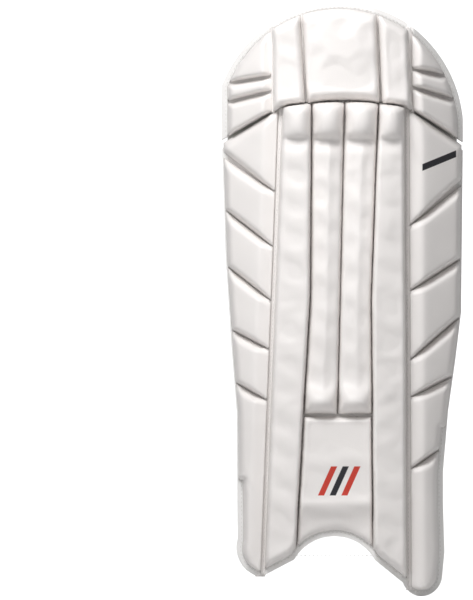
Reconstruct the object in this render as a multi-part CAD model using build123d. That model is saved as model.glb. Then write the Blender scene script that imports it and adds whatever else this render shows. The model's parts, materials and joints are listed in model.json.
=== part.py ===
from build123d import *
import os
from math import atan2, cos, degrees, hypot, radians, sin, tan

# A wicket-keeper's leg pad for one leg, strapped shut as it is worn. Millimetres.
#
# x runs to the right of someone who faces the pad, y from its front to the wearer's calf, z up.
# Heights below are measured from the lowest point of the longer foot lobe. The wearer's shin
# rests on the cushion's rear face at y = 0, and save() puts the origin at that face's centre.
#
# From front to rear the pad is a stuffed or moulded facing, a foam backing and a cloth lining.
# A flat middle and two slightly turned sides carry the vertical rolls. Beyond the two long
# seams a wing folds back on each side of the leg, and the crown stands above the knee seam.

# --- outline, as seen from the front ---
PAD_HEIGHT = 612.0
HALF_WIDTH_LEFT = 121.0
HALF_WIDTH_RIGHT = 130.0
SHOULDER_DROP_LEFT = 83.0     # crown top down to where its arc meets the side
SHOULDER_DROP_RIGHT = 118.0
KNEE_HEIGHT = 511.0           # knee seam on the centre line
KNEE_SIDE_DROP = 6.0          # how much lower the knee seam is at the long seams
KNEE_END_LEFT = 471.0         # knee seam at the outer edges
KNEE_END_RIGHT = 469.0
ARCH_HEIGHT = 62.5            # instep arch, on the outline
ARCH_LEFT = (-46.0, 38.5)
ARCH_RIGHT = (37.0, 38.0)
LOBE_LEFT = ((-104.5, 58.0), (-98.0, 29.5), (-80.0, 20.2))
LOBE_RIGHT = ((66.0, 14.5), (87.0, 0.0), (107.5, 19.0))
# (how far inside the widest line, height) down each side
SIDE_LEFT = ((0.0, 471.0), (4.0, 350.0), (10.0, 258.0), (15.5, 190.0))
SIDE_RIGHT = ((20.0, 45.0), (21.5, 94.0), (21.5, 128.0), (16.0, 191.0), (8.5, 242.0), (2.0, 293.0))
BINDING_WIDTH = 6.0

# --- seams between the vertical rolls, each a line of (x, height) ---
SEAM_LEFT = ((-77.5, 20.0), (-60.0, 480.0))
SEAM_RIGHT = ((71.0, 20.0), (69.0, 480.0))
DIVIDER_LEFT = ((-45.0, 40.0), (-30.0, 306.0), (-28.0, 511.0))
DIVIDER_MIDDLE = ((-1.5, 190.0), (6.0, 511.0))
DIVIDER_RIGHT = ((35.3, 40.0), (33.5, 306.0), (41.0, 511.0))
CROWN_DIVIDER_LEFT = ((-34.0, 511.0), (-39.0, 600.0))
CROWN_DIVIDER_RIGHT = ((43.0, 511.0), (39.0, 600.0))
CROWN_SIDE_LEFT = ((-68.5, 505.0), (-69.5, 600.0))
CROWN_SIDE_RIGHT = ((76.0, 505.0), (71.0, 600.0))
SEAM_GAP = 1.6                # between two stuffed pieces
ROLL_HEAD = 472.0             # where a roll meets its knee roll
INSTEP_TOP = 187.0            # where the two middle rolls meet the instep pad
# (height at the long seam, height at the outer edge) of the grooves across each wing
GROOVES_LEFT = ((413.0, 457.0), (354.0, 403.0), (297.0, 346.0), (248.5, 281.0), (194.5, 229.0))
GROOVES_RIGHT = ((380.0, 428.0), (313.0, 351.0), (241.0, 292.0), (204.0, 233.0), (129.0, 168.0))
CROWN_GROOVES_LEFT = ((538.0, 530.0), (523.5, 510.0))
CROWN_GROOVES_RIGHT = ((545.0, 535.0), (527.0, 511.0))
GROOVE_GAP = 2.4
KNEE_GAP = 1.2                # each side of the knee seam
GUSSET_REACH = 8.0            # of the cloth behind the knee seam, each side of it
WING_NOTCH = 6.0              # extra gap above a wing at its outer edge, which lets it fold
CROWN_GAP = 1.2               # between a crown side panel and the blocks beside it
PANEL_INSET = 1.5             # wing panels from the outer edge, above the bound part of it
BOUND_TO_LEFT = 120.0         # below these heights a wing's panels stop inside the binding
BOUND_TO_RIGHT = 175.0

# --- the pad's curve round the leg, seen from above ---
FACET_HALF = 36.0             # half of the flat middle
SIDE_ANGLE = 12.0
WING_ANGLE = 42.0
HINGE_GAP = 1.2

# --- thicknesses, front to rear ---
KNEE_ROLL_THICK = 28.0
ROLL_THICK = 20.0
MIDDLE_ROLL_THICK = 17.0
INSTEP_THICK = 13.0
CROWN_THICK = 17.0
WING_PANEL_THICK = 13.0
BACKING_THICK = 9.0
LINING_THICK = 2.0
CUSHION_THICK = 8.0
GUSSET_THICK = 1.0
GUSSET_CLEAR = 0.4            # behind the wings, which lift away from it
BOLSTER_THICK = 14.0
KNEE_CUP_THICK = 16.0

# --- pads against the leg ---
CUSHION_HALF_WIDTH = 22.0
CUSHION_SPAN = (96.0, 396.0)
BOLSTER_SPAN = (90.0, 402.0)
BOLSTER_WIDTH = 20.0
BOLSTER_CLEAR = 3.0
KNEE_CUP_HALF_WIDTH = 50.0
KNEE_CUP_SPAN = (410.0, 500.0)
KNEE_POCKET_DEPTH = 12.0
KNEE_POCKET_RADIUS = 34.0

# --- stiffening canes ---
CANE_RADIUS = 3.0
CANE_CLEAR = 0.2
CANE_SPREAD = 11.0            # between the two canes of a roll
CANE_SPAN = (235.0, 455.0)    # in the middle rolls
LONG_CANE_FOOT = 90.0         # in the outer rolls

# --- straps: height, and depth from the shin's face to the strap ---
STRAPS = {"knee": (366.0, 122.0), "calf": (240.0, 116.0), "ankle": (115.0, 104.0)}
STRAP_WIDTH = 36.0
STRAP_THICK = 2.2
TAB_THICK = 2.0
HOOK_THICK = 1.0
CLOSED_GAP = 0.5              # between the two halves of a closed fastening
PATCH_MARGIN = 2.0            # from a patch to the edge of its webbing
STRAP_PAD_THICK = 5.0
FOLD_BACK = 70.0              # length of strap folded back through the ring
CLOSURE_OVERLAP = 62.0        # length of strap over its tab
STRAP_END = 14.0              # tab left bare between the wing and the strap's end
SEWN_LENGTH = 22.0            # of a tab or keeper on its wing

# --- rings ---
RING_WIRE = 3.6
RING_SPAN = 12.6              # between the two bars
RING_CORNER = 4.0
RING_CLEAR = 0.3              # radial, in the webbing's eye
RING_END_CLEAR = 0.5          # above and below the webbing
RING_ANGLE = 80.0             # the way a ring points at rest
KEEPER_THICK = 1.8
EDGE_INSET = 4.0              # from a wing's edge to the ring bar on the left, the tab's fold on the right

DEEP = 300.0                  # more than any thickness or width, for cutting shapes
SEAT_HEIGHT = sum(CUSHION_SPAN) / 2
LINING_REAR = -CUSHION_THICK
LEFT, RIGHT = -1, 1


def x_at(line, height):
    """x on a line of (x, height) points, carried on straight past its ends."""
    for (x0, z0), (x1, z1) in zip(line, line[1:]):
        if height <= z1:
            break
    return x0 + (x1 - x0) * (height - z0) / (z1 - z0)


def side_points(side):
    """The outer edge between the knee seam and the foot lobe, from the top down on the left."""
    if side == LEFT:
        return [(-(HALF_WIDTH_LEFT - inside), z) for inside, z in SIDE_LEFT]
    return [(HALF_WIDTH_RIGHT - inside, z) for inside, z in SIDE_RIGHT]


def edge_at(side, height):
    """x of the outer edge at a height below the knee."""
    if side == LEFT:
        line = [LOBE_LEFT[0], *reversed(side_points(LEFT))]
    else:
        line = [*side_points(RIGHT), (HALF_WIDTH_RIGHT, KNEE_END_RIGHT)]
    return x_at(line, height)


def pad_outline():
    """The whole pad from the front, with its binding."""
    shoulder_left = (-HALF_WIDTH_LEFT, PAD_HEIGHT - SHOULDER_DROP_LEFT)
    shoulder_right = (HALF_WIDTH_RIGHT, PAD_HEIGHT - SHOULDER_DROP_RIGHT)
    knee_end_right = (HALF_WIDTH_RIGHT, KNEE_END_RIGHT)
    arch = ((ARCH_LEFT[0] + ARCH_RIGHT[0]) / 2, ARCH_HEIGHT)
    return make_face(
        [
            Polyline(shoulder_left, *side_points(LEFT), LOBE_LEFT[0]),
            ThreePointArc(*LOBE_LEFT),
            Line(LOBE_LEFT[2], ARCH_LEFT),
            ThreePointArc(ARCH_LEFT, arch, ARCH_RIGHT),
            Line(ARCH_RIGHT, LOBE_RIGHT[0]),
            ThreePointArc(*LOBE_RIGHT),
            Polyline(LOBE_RIGHT[2], *side_points(RIGHT), knee_end_right, shoulder_right),
            ThreePointArc(shoulder_right, (0, PAD_HEIGHT), shoulder_left),
        ]
    )


def knee_line(drop, end_drop):
    """The knee seam's edges from left to right, past both sides, and its two ends.

    It is lowered by drop, and by end_drop more at its ends.
    """
    side = KNEE_HEIGHT - KNEE_SIDE_DROP - drop
    left = (x_at(SEAM_LEFT, side), side)
    right = (x_at(SEAM_RIGHT, side), side)
    end_left = (-HALF_WIDTH_LEFT, KNEE_END_LEFT - drop - end_drop)
    end_right = (HALF_WIDTH_RIGHT, KNEE_END_RIGHT - drop - end_drop)
    # carried on past the edges along the same slopes
    past_left = (2 * end_left[0] - left[0], 2 * end_left[1] - left[1])
    past_right = (2 * end_right[0] - right[0], 2 * end_right[1] - right[1])
    edges = [
        Line(past_left, left),
        ThreePointArc(left, (0, KNEE_HEIGHT - drop), right),
        Line(right, past_right),
    ]
    return edges, past_left, past_right


def knee_side(above, drop, end_drop=0.0):
    """Everything above the knee seam, or everything below it, with the seam lowered by drop."""
    edges, left, right = knee_line(drop, end_drop)
    far = 3 * PAD_HEIGHT if above else -PAD_HEIGHT
    return make_face([*edges, Polyline(right, (right[0], far), (left[0], far), left)])


def upright(x):
    """A vertical seam line."""
    return ((x, 0.0), (x, 1.0))


def strip(left, right, low, high, gap=SEAM_GAP):
    """The face between two seam lines, from one height to another."""
    bends = {z for _, z in (*left, *right) if low < z < high}
    heights = sorted({low, high, *bends})
    lefts = [(x_at(left, z) + gap / 2, z) for z in heights]
    rights = [(x_at(right, z) - gap / 2, z) for z in reversed(heights)]
    return make_face(Polyline(*lefts, *rights, close=True))


def prism(face):
    """A face drawn from the front, as a solid that runs through the whole pad from front to rear."""
    return extrude(Plane.XZ * face, amount=DEEP, both=True)


def rear_y(x):
    """y of the lining's rear at x, between the long seams."""
    return LINING_REAR + max(0.0, abs(x) - FACET_HALF) * tan(radians(SIDE_ANGLE))


def layer(near, far):
    """The shin and crown from near to far in front of the lining's rear, in its three facets."""
    stations = (-DEEP, -FACET_HALF, FACET_HALF, DEEP)
    rear = [(x, rear_y(x) - near) for x in stations]
    front = [(x, rear_y(x) - far) for x in reversed(stations)]
    return Pos(0, 0, -DEEP) * extrude(make_face(Polyline(*rear, *front, close=True)), amount=3 * PAD_HEIGHT)


class Flap:
    """The plane of a wing, turned back about the long seam. The crown's side blocks share it."""

    def __init__(self, side, seam):
        self.side, self.seam = side, seam
        self.y = rear_y((x_at(seam, 0) + x_at(seam, KNEE_HEIGHT)) / 2)
        self.foot = Vector(x_at(seam, 0), self.y, 0)
        self.axis = (Vector(x_at(seam, KNEE_HEIGHT), self.y, KNEE_HEIGHT) - self.foot).normalized()
        self.across = Vector(0, 1, 0).cross(self.axis).normalized()
        back = Vector(0, 1, 0) * (sin(radians(WING_ANGLE)) * side)
        outward = self.across * (sin(radians(WING_ANGLE)) * side)
        self.plane = Plane(
            origin=self.foot,
            x_dir=self.across * cos(radians(WING_ANGLE)) + back,
            z_dir=outward - Vector(0, 1, 0) * cos(radians(WING_ANGLE)),
        )

    def local(self, x, height):
        """(across, along) in the flap's plane of the point that is at x and height from the front."""
        reach = Vector(x, self.y, height) - self.foot
        return reach.dot(self.across) / cos(radians(WING_ANGLE)), reach.dot(self.axis)

    def point(self, x, height, lift):
        """That point in space, raised by lift from the lining's rear towards the front."""
        across, along = self.local(x, height)
        return self.plane.from_local_coords(Vector(across, along, lift))

    def slab(self, near, far):
        """The flap from near to far in front of the lining's rear, clear of the hinge line."""
        box = Box(DEEP, 4 * PAD_HEIGHT, far - near, align=(Align.MIN, Align.CENTER, Align.MIN))
        start = HINGE_GAP if self.side == RIGHT else -HINGE_GAP - DEEP
        return self.plane * Pos(start, 0, near) * box

    def plate(self, edge, height, length, width, thick):
        """A flat tape sewn to the lining's rear, which ends at edge."""
        across, along = self.local(edge, height)
        box = Box(length, width, thick, align=(Align.MAX, Align.CENTER, Align.MAX))
        if self.side == LEFT:
            box = Box(length, width, thick, align=(Align.MIN, Align.CENTER, Align.MAX))
        return self.plane * Pos(across, along, 0) * box


FLAP_LEFT = Flap(LEFT, SEAM_LEFT)
FLAP_RIGHT = Flap(RIGHT, SEAM_RIGHT)
FLAPS = {"left": FLAP_LEFT, "right": FLAP_RIGHT}
OUTLINE = pad_outline()
INSIDE = offset(OUTLINE, amount=-BINDING_WIDTH)
BINDING = OUTLINE - INSIDE
ABOVE_KNEE = knee_side(above=True, drop=-KNEE_GAP)
BELOW_KNEE = knee_side(above=False, drop=KNEE_GAP)
WING_ZONE = knee_side(above=False, drop=KNEE_GAP, end_drop=WING_NOTCH)
FACING_REAR = LINING_THICK + BACKING_THICK
TOP = 2 * PAD_HEIGHT


def save(name, shape):
    """Writes one node, moved so that the origin is the centre of the shin cushion's rear face."""
    solids = ShapeList((Pos(0, 0, -SEAT_HEIGHT) * shape).solids())
    export_step(solids[0] if len(solids) == 1 else Compound(children=list(solids)), f"parts/{name}.step")


def make_canes():
    """The rods inside the rolls, and the holes that they lie in."""
    rolls = (
        (SEAM_LEFT, DIVIDER_LEFT, LONG_CANE_FOOT, ROLL_THICK),
        (DIVIDER_LEFT, DIVIDER_MIDDLE, CANE_SPAN[0], MIDDLE_ROLL_THICK),
        (DIVIDER_MIDDLE, DIVIDER_RIGHT, CANE_SPAN[0], MIDDLE_ROLL_THICK),
        (DIVIDER_RIGHT, SEAM_RIGHT, LONG_CANE_FOOT, ROLL_THICK),
    )
    rods, holes = [], []
    for left, right, low, thick in rolls:
        for shift in (-CANE_SPREAD / 2, CANE_SPREAD / 2):
            ends = []
            for height in (low, CANE_SPAN[1]):
                x = (x_at(left, height) + x_at(right, height)) / 2 + shift
                ends.append(Vector(x, rear_y(x) - FACING_REAR - thick / 2, height))
            run = ends[1] - ends[0]
            rod = Plane(origin=ends[0], z_dir=run) * Cylinder(
                CANE_RADIUS, run.length, align=(Align.CENTER, Align.CENTER, Align.MIN)
            )
            hole = Plane(origin=ends[0] - run.normalized() * CANE_CLEAR, z_dir=run) * Cylinder(
                CANE_RADIUS + CANE_CLEAR,
                run.length + 2 * CANE_CLEAR,
                align=(Align.CENTER, Align.CENTER, Align.MIN),
            )
            rods.append(rod)
            holes.append(hole)
    save("cane_rods", Compound(children=[rod.solid() for rod in rods]))
    return holes


def make_rolls(holes):
    """The four vertical rolls, each with its canes inside."""
    shin = INSIDE & BELOW_KNEE
    rolls = {
        "outer_roll_left": (SEAM_LEFT, DIVIDER_LEFT, 0.0, ROLL_THICK),
        "middle_roll_left": (DIVIDER_LEFT, DIVIDER_MIDDLE, INSTEP_TOP + SEAM_GAP, MIDDLE_ROLL_THICK),
        "middle_roll_right": (DIVIDER_MIDDLE, DIVIDER_RIGHT, INSTEP_TOP + SEAM_GAP, MIDDLE_ROLL_THICK),
        "outer_roll_right": (DIVIDER_RIGHT, SEAM_RIGHT, 0.0, ROLL_THICK),
    }
    for name, (left, right, low, thick) in rolls.items():
        cell = shin & strip(left, right, low, ROLL_HEAD - SEAM_GAP / 2)
        roll = layer(FACING_REAR, FACING_REAR + thick) & prism(cell)
        for hole in holes:
            roll -= hole
        save(name, roll)


def make_knee_rolls():
    """The four bulging rolls across the knee, above the vertical ones."""
    lines = (SEAM_LEFT, DIVIDER_LEFT, DIVIDER_MIDDLE, DIVIDER_RIGHT, SEAM_RIGHT)
    for number, (left, right) in enumerate(zip(lines, lines[1:]), start=1):
        cell = BELOW_KNEE & strip(left, right, ROLL_HEAD + SEAM_GAP / 2, TOP)
        save(f"knee_roll_{number}", layer(FACING_REAR, FACING_REAR + KNEE_ROLL_THICK) & prism(cell))


def make_shin():
    """The instep pad, the shin's backing and lining, and the binding of the instep arch."""
    instep = INSIDE & strip(DIVIDER_LEFT, DIVIDER_RIGHT, 0, INSTEP_TOP - SEAM_GAP / 2)
    save("instep_pad", layer(FACING_REAR, FACING_REAR + INSTEP_THICK) & prism(instep))
    shin = strip(SEAM_LEFT, SEAM_RIGHT, 0, TOP) & BELOW_KNEE
    save("shin_backing", layer(LINING_THICK, FACING_REAR) & prism(shin & INSIDE))
    save("shin_lining", layer(0, LINING_THICK) & prism(shin & INSIDE))
    save("instep_binding", layer(0, FACING_REAR) & prism(shin & BINDING))


def make_leg_pads():
    """What the leg touches: a cushion for the shin, two bolsters beside it and the knee cup."""
    cushion = strip(upright(-CUSHION_HALF_WIDTH), upright(CUSHION_HALF_WIDTH), *CUSHION_SPAN, gap=0)
    save("shin_cushion", layer(-CUSHION_THICK, 0) & prism(cushion))
    inner = CUSHION_HALF_WIDTH + BOLSTER_CLEAR
    outer = inner + BOLSTER_WIDTH
    for name, side in (("left", LEFT), ("right", RIGHT)):
        low, high = sorted((side * inner, side * outer))
        face = strip(upright(low), upright(high), *BOLSTER_SPAN, gap=0)
        save(f"shin_bolster_{name}", layer(-BOLSTER_THICK, 0) & prism(face))
    middle = sum(KNEE_CUP_SPAN) / 2
    tall = KNEE_CUP_SPAN[1] - KNEE_CUP_SPAN[0]
    cup = Pos(0, middle) * RectangleRounded(2 * KNEE_CUP_HALF_WIDTH, tall, tall / 4)
    # a ball whose cap is as deep and as wide as the pocket
    ball = (KNEE_POCKET_RADIUS**2 + KNEE_POCKET_DEPTH**2) / (2 * KNEE_POCKET_DEPTH)
    centre = LINING_REAR + KNEE_CUP_THICK - KNEE_POCKET_DEPTH + ball
    save("knee_cup", (layer(-KNEE_CUP_THICK, 0) & prism(cup)) - Pos(0, centre, middle) * Sphere(ball))


def make_crown():
    """All above the knee seam: three stuffed panels, moulded blocks beside them and their backing."""
    crown = INSIDE & ABOVE_KNEE
    panels = {
        "crown_side_panel_left": (CROWN_SIDE_LEFT, CROWN_DIVIDER_LEFT),
        "crown_centre_panel": (CROWN_DIVIDER_LEFT, CROWN_DIVIDER_RIGHT),
        "crown_side_panel_right": (CROWN_DIVIDER_RIGHT, CROWN_SIDE_RIGHT),
    }
    for name, (left, right) in panels.items():
        save(name, layer(FACING_REAR, FACING_REAR + CROWN_THICK) & prism(crown & strip(left, right, 0, TOP)))
    between = strip(CROWN_SIDE_LEFT, CROWN_SIDE_RIGHT, 0, TOP)
    backing, lining, binding = [], [], []
    for near, far, face, found in (
        (LINING_THICK, FACING_REAR, crown, backing),
        (0, LINING_THICK, crown, lining),
        (0, FACING_REAR, ABOVE_KNEE & BINDING, binding),
    ):
        found += (layer(near, far) & prism(face & between)).solids()
        for flap, seam in ((FLAP_LEFT, CROWN_SIDE_LEFT), (FLAP_RIGHT, CROWN_SIDE_RIGHT)):
            found += (flap.slab(near, far) & prism(face & beside(seam, flap.side))).solids()
    save("crown_backing", Compound(children=backing))
    save("crown_lining", Compound(children=lining))
    save("crown_binding", Compound(children=binding))
    for name, flap, seam, grooves in (
        ("left", FLAP_LEFT, CROWN_SIDE_LEFT, CROWN_GROOVES_LEFT),
        ("right", FLAP_RIGHT, CROWN_SIDE_RIGHT, CROWN_GROOVES_RIGHT),
    ):
        slab = flap.slab(FACING_REAR, FACING_REAR + WING_PANEL_THICK)
        face = crown & beside(seam, flap.side)
        blocks = [slab & prism(face & cell) for cell in groove_cells(flap, grooves)]
        save(f"crown_blocks_{name}", Compound(children=[s for b in blocks for s in b.solids()]))


def make_knee_gusset():
    """The cloth behind the knee seam, which joins the crown to the shin and backs the gap over each wing."""
    upper = knee_side(above=False, drop=-GUSSET_REACH) & ABOVE_KNEE
    reach = knee_side(above=True, drop=GUSSET_REACH, end_drop=WING_NOTCH)
    lower = reach - ABOVE_KNEE
    middle = strip(SEAM_LEFT, SEAM_RIGHT, 0, TOP)
    found = (layer(-GUSSET_THICK, 0) & prism(INSIDE & (upper + lower) & middle)).solids()
    rear = -GUSSET_CLEAR - GUSSET_THICK
    for flap in FLAPS.values():
        behind_crown = flap.slab(rear, 0) & prism(INSIDE & upper)
        behind_wing = flap.slab(rear, -GUSSET_CLEAR) & prism(INSIDE & lower)
        found += (behind_crown + behind_wing).solids()
    save("knee_gusset", Compound(children=found))


def beside(seam, side):
    """Everything on the outer side of a seam, clear of what stands inside it."""
    far = upright(side * DEEP)
    clear = ((seam[0][0] + side * CROWN_GAP, seam[0][1]), (seam[1][0] + side * CROWN_GAP, seam[1][1]))
    return strip(far, clear, -DEEP, TOP) if side == LEFT else strip(clear, far, -DEEP, TOP)


def groove_cells(flap, grooves):
    """The bands between the grooves of a flap, from the top down, as faces from the front."""
    seam_x = x_at(flap.seam, KNEE_HEIGHT)
    edge_x = -HALF_WIDTH_LEFT if flap.side == LEFT else HALF_WIDTH_RIGHT
    past_seam, past_edge = 2 * seam_x - edge_x, 2 * edge_x - seam_x

    def level(groove, shift):
        seam_z, edge_z = groove
        slope = edge_z - seam_z
        return (past_seam, seam_z - slope + shift), (past_edge, edge_z + slope + shift)

    top = ((past_seam, TOP), (past_edge, TOP))
    foot = ((past_seam, -DEEP), (past_edge, -DEEP))
    uppers = [top, *[level(g, -GROOVE_GAP / 2) for g in grooves]]
    lowers = [*[level(g, GROOVE_GAP / 2) for g in grooves], foot]
    return [make_face(Polyline(*upper, *reversed(lower), close=True)) for upper, lower in zip(uppers, lowers)]


def make_wing(name, grooves):
    """One wing: six moulded panels, backing, lining and the binding round its edge."""
    flap = FLAPS[name]
    zone = WING_ZONE & INSIDE
    save(f"wing_backing_{name}", flap.slab(LINING_THICK, FACING_REAR) & prism(zone))
    save(f"wing_lining_{name}", flap.slab(0, LINING_THICK) & prism(zone))
    save(f"wing_binding_{name}", flap.slab(0, FACING_REAR) & prism(WING_ZONE & BINDING))
    slab = flap.slab(FACING_REAR, FACING_REAR + WING_PANEL_THICK)
    bound_to = BOUND_TO_LEFT if flap.side == LEFT else BOUND_TO_RIGHT
    free_edge = offset(OUTLINE, amount=-PANEL_INSET) & strip(upright(-DEEP), upright(DEEP), bound_to, TOP)
    for number, cell in enumerate(groove_cells(flap, grooves), start=1):
        save(f"wing_panel_{name}_{number}", slab & prism(WING_ZONE & (INSIDE + free_edge) & cell))


def sector(centre, inner, outer, start, end, width):
    """A curved tape seen from above: part of a ring about centre, standing width tall about its middle."""

    def at(radius, angle):
        return (centre[0] + radius * cos(angle), centre[1] + radius * sin(angle))

    middle = (start + end) / 2
    face = make_face(
        [
            ThreePointArc(at(outer, start), at(outer, middle), at(outer, end)),
            Line(at(outer, end), at(inner, end)),
            ThreePointArc(at(inner, end), at(inner, middle), at(inner, start)),
            Line(at(inner, start), at(outer, start)),
        ]
    )
    return Pos(0, 0, -width / 2) * extrude(face, amount=width)


def post(x, y, radius, width):
    return Pos(x, y, 0) * Cylinder(radius, width)


def make_strap(name):
    """A strap with its ring, keeper, hook and pad, and the tab that it closes on, all at one height."""
    height, depth = STRAPS[name]
    wire = RING_WIRE / 2
    eye = wire + RING_CLEAR
    keeper_edge = edge_at(LEFT, height) + EDGE_INSET
    tab_edge = edge_at(RIGHT, height) - EDGE_INSET
    inner_bar = FLAP_LEFT.point(keeper_edge, height, -(eye + KEEPER_THICK))
    point_way = radians(RING_ANGLE)
    outer_bar = (inner_bar.X + RING_SPAN * cos(point_way), inner_bar.Y + RING_SPAN * sin(point_way))
    tab_root = FLAP_RIGHT.point(tab_edge, height, -TAB_THICK / 2)
    tab_outer = eye - HOOK_THICK - CLOSED_GAP - HOOK_THICK      # from the strap's own circle
    centre, radius = strap_circle(outer_bar, tab_root, depth, tab_outer - TAB_THICK / 2)
    start = atan2(tab_root.Y - centre[1], tab_root.X - centre[0])
    end = atan2(outer_bar[1] - centre[1], outer_bar[0] - centre[0])
    strap_start = start + STRAP_END / radius
    tab_end = strap_start + CLOSURE_OVERLAP / radius

    keeper = FLAP_LEFT.plate(keeper_edge, height, SEWN_LENGTH, STRAP_WIDTH, KEEPER_THICK)
    keeper += Pos(0, 0, height) * post(inner_bar.X, inner_bar.Y, eye + KEEPER_THICK, STRAP_WIDTH)
    keeper -= Pos(0, 0, height) * post(inner_bar.X, inner_bar.Y, eye, 2 * STRAP_WIDTH)
    keeper -= FLAP_LEFT.slab(0, DEEP)

    tall = STRAP_WIDTH + 2 * (RING_CORNER + RING_END_CLEAR)
    ring_plane = Plane(
        origin=((inner_bar.X + outer_bar[0]) / 2, (inner_bar.Y + outer_bar[1]) / 2, height),
        x_dir=(cos(point_way), sin(point_way), 0),
        z_dir=(sin(point_way), -cos(point_way), 0),
    )
    loop = ring_plane * RectangleRounded(RING_SPAN, tall, RING_CORNER).wire()
    section = Plane(origin=loop @ 0, z_dir=loop % 0) * Circle(wire)
    ring = sweep(section, path=loop)
    save(f"ring_{name}", ring)

    face = radius + eye                                        # inner face of the strap
    back = face + STRAP_THICK
    web = sector(centre, face, back, strap_start, end, STRAP_WIDTH)
    web += sector(centre, back, back + STRAP_THICK, end - FOLD_BACK / radius, end, STRAP_WIDTH)
    web += post(*outer_bar, eye + STRAP_THICK, STRAP_WIDTH)
    web -= post(*outer_bar, eye, 2 * STRAP_WIDTH)
    save(f"strap_{name}", Pos(0, 0, height) * web)
    margin = PATCH_MARGIN / radius
    patch = STRAP_WIDTH - 2 * PATCH_MARGIN
    hook = sector(centre, face - HOOK_THICK, face, strap_start + margin, tab_end - margin, patch)
    save(f"strap_hook_{name}", Pos(0, 0, height) * hook)
    pad_ends = (tab_end + STRAP_END / radius, end - SEWN_LENGTH / radius)
    pad = sector(centre, face - STRAP_PAD_THICK, face, *pad_ends, STRAP_WIDTH)
    save(f"strap_pad_{name}", Pos(0, 0, height) * pad)

    tab = sector(centre, radius + tab_outer - TAB_THICK, radius + tab_outer, start, tab_end, STRAP_WIDTH)
    tab += post(tab_root.X, tab_root.Y, TAB_THICK, STRAP_WIDTH)
    tab = Pos(0, 0, height) * tab
    tab += FLAP_RIGHT.plate(tab_edge, height, SEWN_LENGTH, STRAP_WIDTH, TAB_THICK)
    tab -= FLAP_RIGHT.slab(0, DEEP)
    loop_face = radius + tab_outer
    loops = sector(centre, loop_face, loop_face + HOOK_THICK, strap_start, tab_end - margin, patch)
    print(
        f"strap {name}: ring at ({inner_bar.X:.3f}, {inner_bar.Y:.3f}), strap about ({outer_bar[0]:.3f},"
        f" {outer_bar[1]:.3f}), height {height - SEAT_HEIGHT:.1f}, radius {radius:.1f},"
        f" length {(end - strap_start) * radius:.0f}"
    )
    return keeper, tab, Pos(0, 0, height) * loops


def strap_circle(outer_bar, tab_root, depth, tab_shift):
    """Centre and radius of the arc from the ring's outer bar to the tab, whose middle reaches depth."""
    far = (tab_root.X, tab_root.Y)
    for _ in range(3):                                         # the tab lies tab_shift off the strap's arc
        middle = ((outer_bar[0] + far[0]) / 2, (outer_bar[1] + far[1]) / 2)
        chord = (far[0] - outer_bar[0], far[1] - outer_bar[1])
        half = hypot(*chord) / 2
        rise = depth - middle[1]
        radius = (half**2 + rise**2) / (2 * rise)
        normal = (-chord[1] / (2 * half), chord[0] / (2 * half))
        centre = (middle[0] + normal[0] * (rise - radius), middle[1] + normal[1] * (rise - radius))
        reach = hypot(tab_root.X - centre[0], tab_root.Y - centre[1])
        scale = (reach - tab_shift) / reach
        far = (centre[0] + (tab_root.X - centre[0]) * scale, centre[1] + (tab_root.Y - centre[1]) * scale)
    return centre, radius


def make_straps():
    keepers, tabs, loops = zip(*[make_strap(name) for name in STRAPS])
    save("ring_keepers", Compound(children=[k.solid() for k in keepers]))
    save("closure_tabs", Compound(children=[t.solid() for t in tabs]))
    save("loop_patches", Compound(children=[p.solid() for p in loops]))


os.makedirs("parts", exist_ok=True)
make_rolls(make_canes())
make_knee_rolls()
make_shin()
make_leg_pads()
make_crown()
make_knee_gusset()
make_wing("left", GROOVES_LEFT)
make_wing("right", GROOVES_RIGHT)
make_straps()
for name, flap in FLAPS.items():
    foot = flap.foot - Vector(0, 0, SEAT_HEIGHT)
    print(f"{name} wing hinge: {tuple(foot)} along {tuple(flap.axis)}")
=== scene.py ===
import json
from math import cos, pi, radians, sin, tan

import bmesh
import bpy
import numpy as np
from bpy.props import FloatProperty, FloatVectorProperty, IntProperty, PointerProperty
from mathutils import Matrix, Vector
from mathutils.geometry import delaunay_2d_cdt


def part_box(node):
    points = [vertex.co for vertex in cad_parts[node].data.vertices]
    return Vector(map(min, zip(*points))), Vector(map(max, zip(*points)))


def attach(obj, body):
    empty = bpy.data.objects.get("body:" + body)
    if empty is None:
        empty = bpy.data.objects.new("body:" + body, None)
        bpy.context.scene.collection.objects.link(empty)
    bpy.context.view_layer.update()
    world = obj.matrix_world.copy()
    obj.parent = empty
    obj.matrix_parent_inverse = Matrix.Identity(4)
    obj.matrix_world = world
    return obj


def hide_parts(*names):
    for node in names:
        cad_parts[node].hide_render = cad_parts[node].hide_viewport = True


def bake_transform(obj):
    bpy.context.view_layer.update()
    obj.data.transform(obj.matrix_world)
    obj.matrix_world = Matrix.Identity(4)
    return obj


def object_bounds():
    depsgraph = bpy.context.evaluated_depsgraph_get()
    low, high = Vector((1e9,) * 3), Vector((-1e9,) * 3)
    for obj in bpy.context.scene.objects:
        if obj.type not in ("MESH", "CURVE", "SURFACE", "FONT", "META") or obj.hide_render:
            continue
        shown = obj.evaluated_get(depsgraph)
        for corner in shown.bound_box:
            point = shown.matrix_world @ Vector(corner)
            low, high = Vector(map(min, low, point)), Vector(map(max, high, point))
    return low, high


bl_info = {
    "name": "Keeper's leg pad",
    "version": (1, 0, 0),
    "blender": (4, 5, 0),
    "location": "View3D > Sidebar > Leg pad",
    "description": "Covers, linings, straps and stitching of a wicket-keeper's leg pad",
    "category": "Object",
}

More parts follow.
